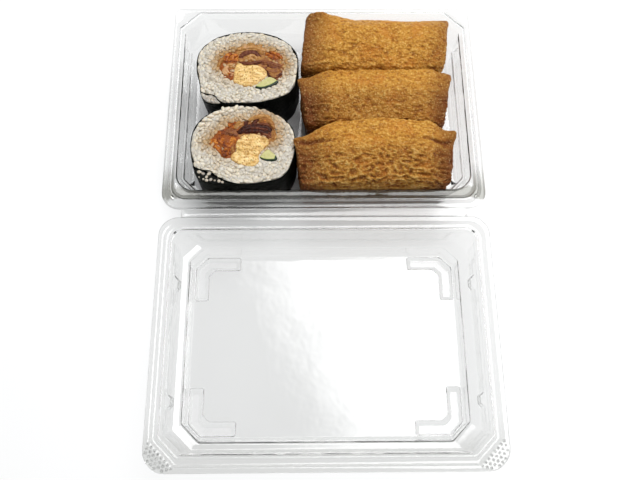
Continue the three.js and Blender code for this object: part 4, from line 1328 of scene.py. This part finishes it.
def tofu_pouch(pouch):
    """A pouch of fried tofu: a soft block with pinched ends, wrinkled and pitted all over."""
    bm = bmesh.new()
    relief = bm.verts.layers.float.new("relief")
    dusk = bm.verts.layers.float.new("dusk")
    level = 7
    bmesh.ops.create_icosphere(bm, subdivisions=level, radius=1.0)
    part = {}
    for vert in bm.verts:
        vert.co, part[vert] = pouch_place(pouch, vert.co.normalized())
    bm.normal_update()
    shift = pouch["phase"] * 10.0
    moved = {}
    for vert in bm.verts:
        u, v, w = part[vert]
        x, y, z = vert.co
        at = Vector((x, y, z))
        dents = noise.noise(at / DENTS["size"] + Vector((shift, 0, 0)))
        bent = Vector((x / FOLDS["length"], y / FOLDS["breadth"], z / FOLDS["breadth"]))
        bent = bent + FOLDS["bend"] * noise_towards(at / FOLDS["bend_size"])
        folds = 1.0 - 2.0 * abs(noise.noise(bent + Vector((0, shift, 0))))
        groove = math.exp(-(noise.noise(bent * 1.2 + Vector((shift, 0, 5))) / 0.07) ** 2)
        crinkle = noise.fractal(at / CRINKLE["size"] + Vector((0, 0, shift)), 0.7, 2.0, 4)
        pits = noise.voronoi(at / PITS["size"])[0][0]
        front = smooth_step(-v, -0.2, 0.5)
        strength = pouch["wrinkles"] * (0.4 + 0.9 * front)
        line = 0.22 + 0.06 * noise.noise(Vector((x / 9.0, shift, 0)))
        crease = (pouch["crease"] * math.exp(-((v - line) / 0.06) ** 2) * max(w, 0.0)
                  * smooth_step(abs(u), 0.3, 0.85) * (1.0 - smooth_step(abs(u), 0.9, 1.0)))
        depth = (DENTS["depth"] * dents + strength * (folds - 0.55 - 0.4 * groove)
                 + CRINKLE["depth"] * crinkle - PITS["depth"] * (0.5 - min(pits, 0.5)) * 2
                 - CREASE_DEPTH * crease)
        grounded = smooth_step(z, FOOD_FLOOR, FOOD_FLOOR + 2.0)
        moved[vert] = vert.co + vert.normal * (depth - 0.3) * grounded
        # Painted shade and highlight: the tone follows the relief, darker in folds, grooves, pits and the
        # crease, lighter on ridges.
        tone = (0.5 + 0.9 * (strength * (folds - 0.5 - 0.5 * groove) + 0.28 * crinkle)
                - 0.3 * (pits < 0.25))
        vert[relief] = min(max(tone - 0.6 * crease, 0.0), 1.0)
        # Painted shade: darker towards both ends, on the front that faces away from the lamp, low down
        # near the floor and in the long crease.
        left, right, face = pouch["dusk"]
        ends = left * smooth_step(-u, 0.5, 1.0) + right * smooth_step(u, 0.6, 1.0)
        below = 1.0 - smooth_step(z, 4.0, 30.0)
        facing = face * smooth_step(-v, -0.35, 0.25)
        vert[dusk] = min(ends + facing + 0.5 * below + 0.5 * crease, 0.95)
    for vert, place in moved.items():
        vert.co = place
    return bm


# ---- The whole ----

def build_box(plastic):
    """The two halves of the box and the strip between them."""
    tray = add_piece(formed_half(1, TRAY_SECTION), "clear_tray", plastic,
                     ["tray_shell"])
    thicken(tray, SHEET)
    lid_mesh = formed_half(-1, LID_SECTION, lugs=True, feet=True)
    add_dimples(lid_mesh)
    lid = add_piece(lid_mesh, "clear_lid", plastic, ["lid_shell"], body="lid")
    thicken(lid, SHEET)
    web = add_piece(hinge_web(), "hinge_web", plastic, body=None)
    thicken(web, THIN_SHEET)
    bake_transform(web)


def build_rolls():
    """Both rolls, a piece for each kind of food in them."""
    rice, nori, egg = rice_finish(), nori_finish(), egg_finish()
    cucumber, carrot, gourd = cucumber_finish(), carrot_finish(), gourd_finish()
    for roll in ROLLS:
        end = roll["name"]
        sheet = add_piece(nori_sheet(roll), f"nori_sheet_{end}", nori, [f"nori_{end}"])
        thicken(sheet, THIN_SHEET)
        add_piece(rice_heap(roll), f"rice_heap_{end}", rice, [f"rice_{end}"])
        add_piece(egg_slice(roll), f"egg_slice_{end}", egg, [f"egg_{end}"])
        add_piece(cucumber_stick(roll), f"cucumber_stick_{end}", cucumber,
                  [f"cucumber_{end}"])
        add_piece(carrot_sticks(roll), f"carrot_sticks_{end}", carrot,
                  [f"carrot_{letter}_{end}" for letter in "abcde"[:len(roll["carrot"])]])
        add_piece(gourd_strips(roll), f"gourd_strips_{end}", gourd,
                  [f"gourd_{letter}_{end}" for letter in "abcd"])


def build_pouches():
    """The three pouches, all of one finish."""
    tofu = tofu_finish()
    for pouch in POUCHES:
        add_piece(tofu_pouch(pouch), f"tofu_pouch_{pouch['name']}", tofu,
                  [f"pouch_{pouch['name']}"])


def build_floor():
    """The ground of the studio, which isn't part of the object."""
    bm = bmesh.new()
    bmesh.ops.create_grid(bm, x_segments=1, y_segments=1, size=3.0)
    floor = add_object(bm, "floor", floor_finish())


studio()
build_floor()
build_box(clear_plastic())
build_rolls()
build_pouches()
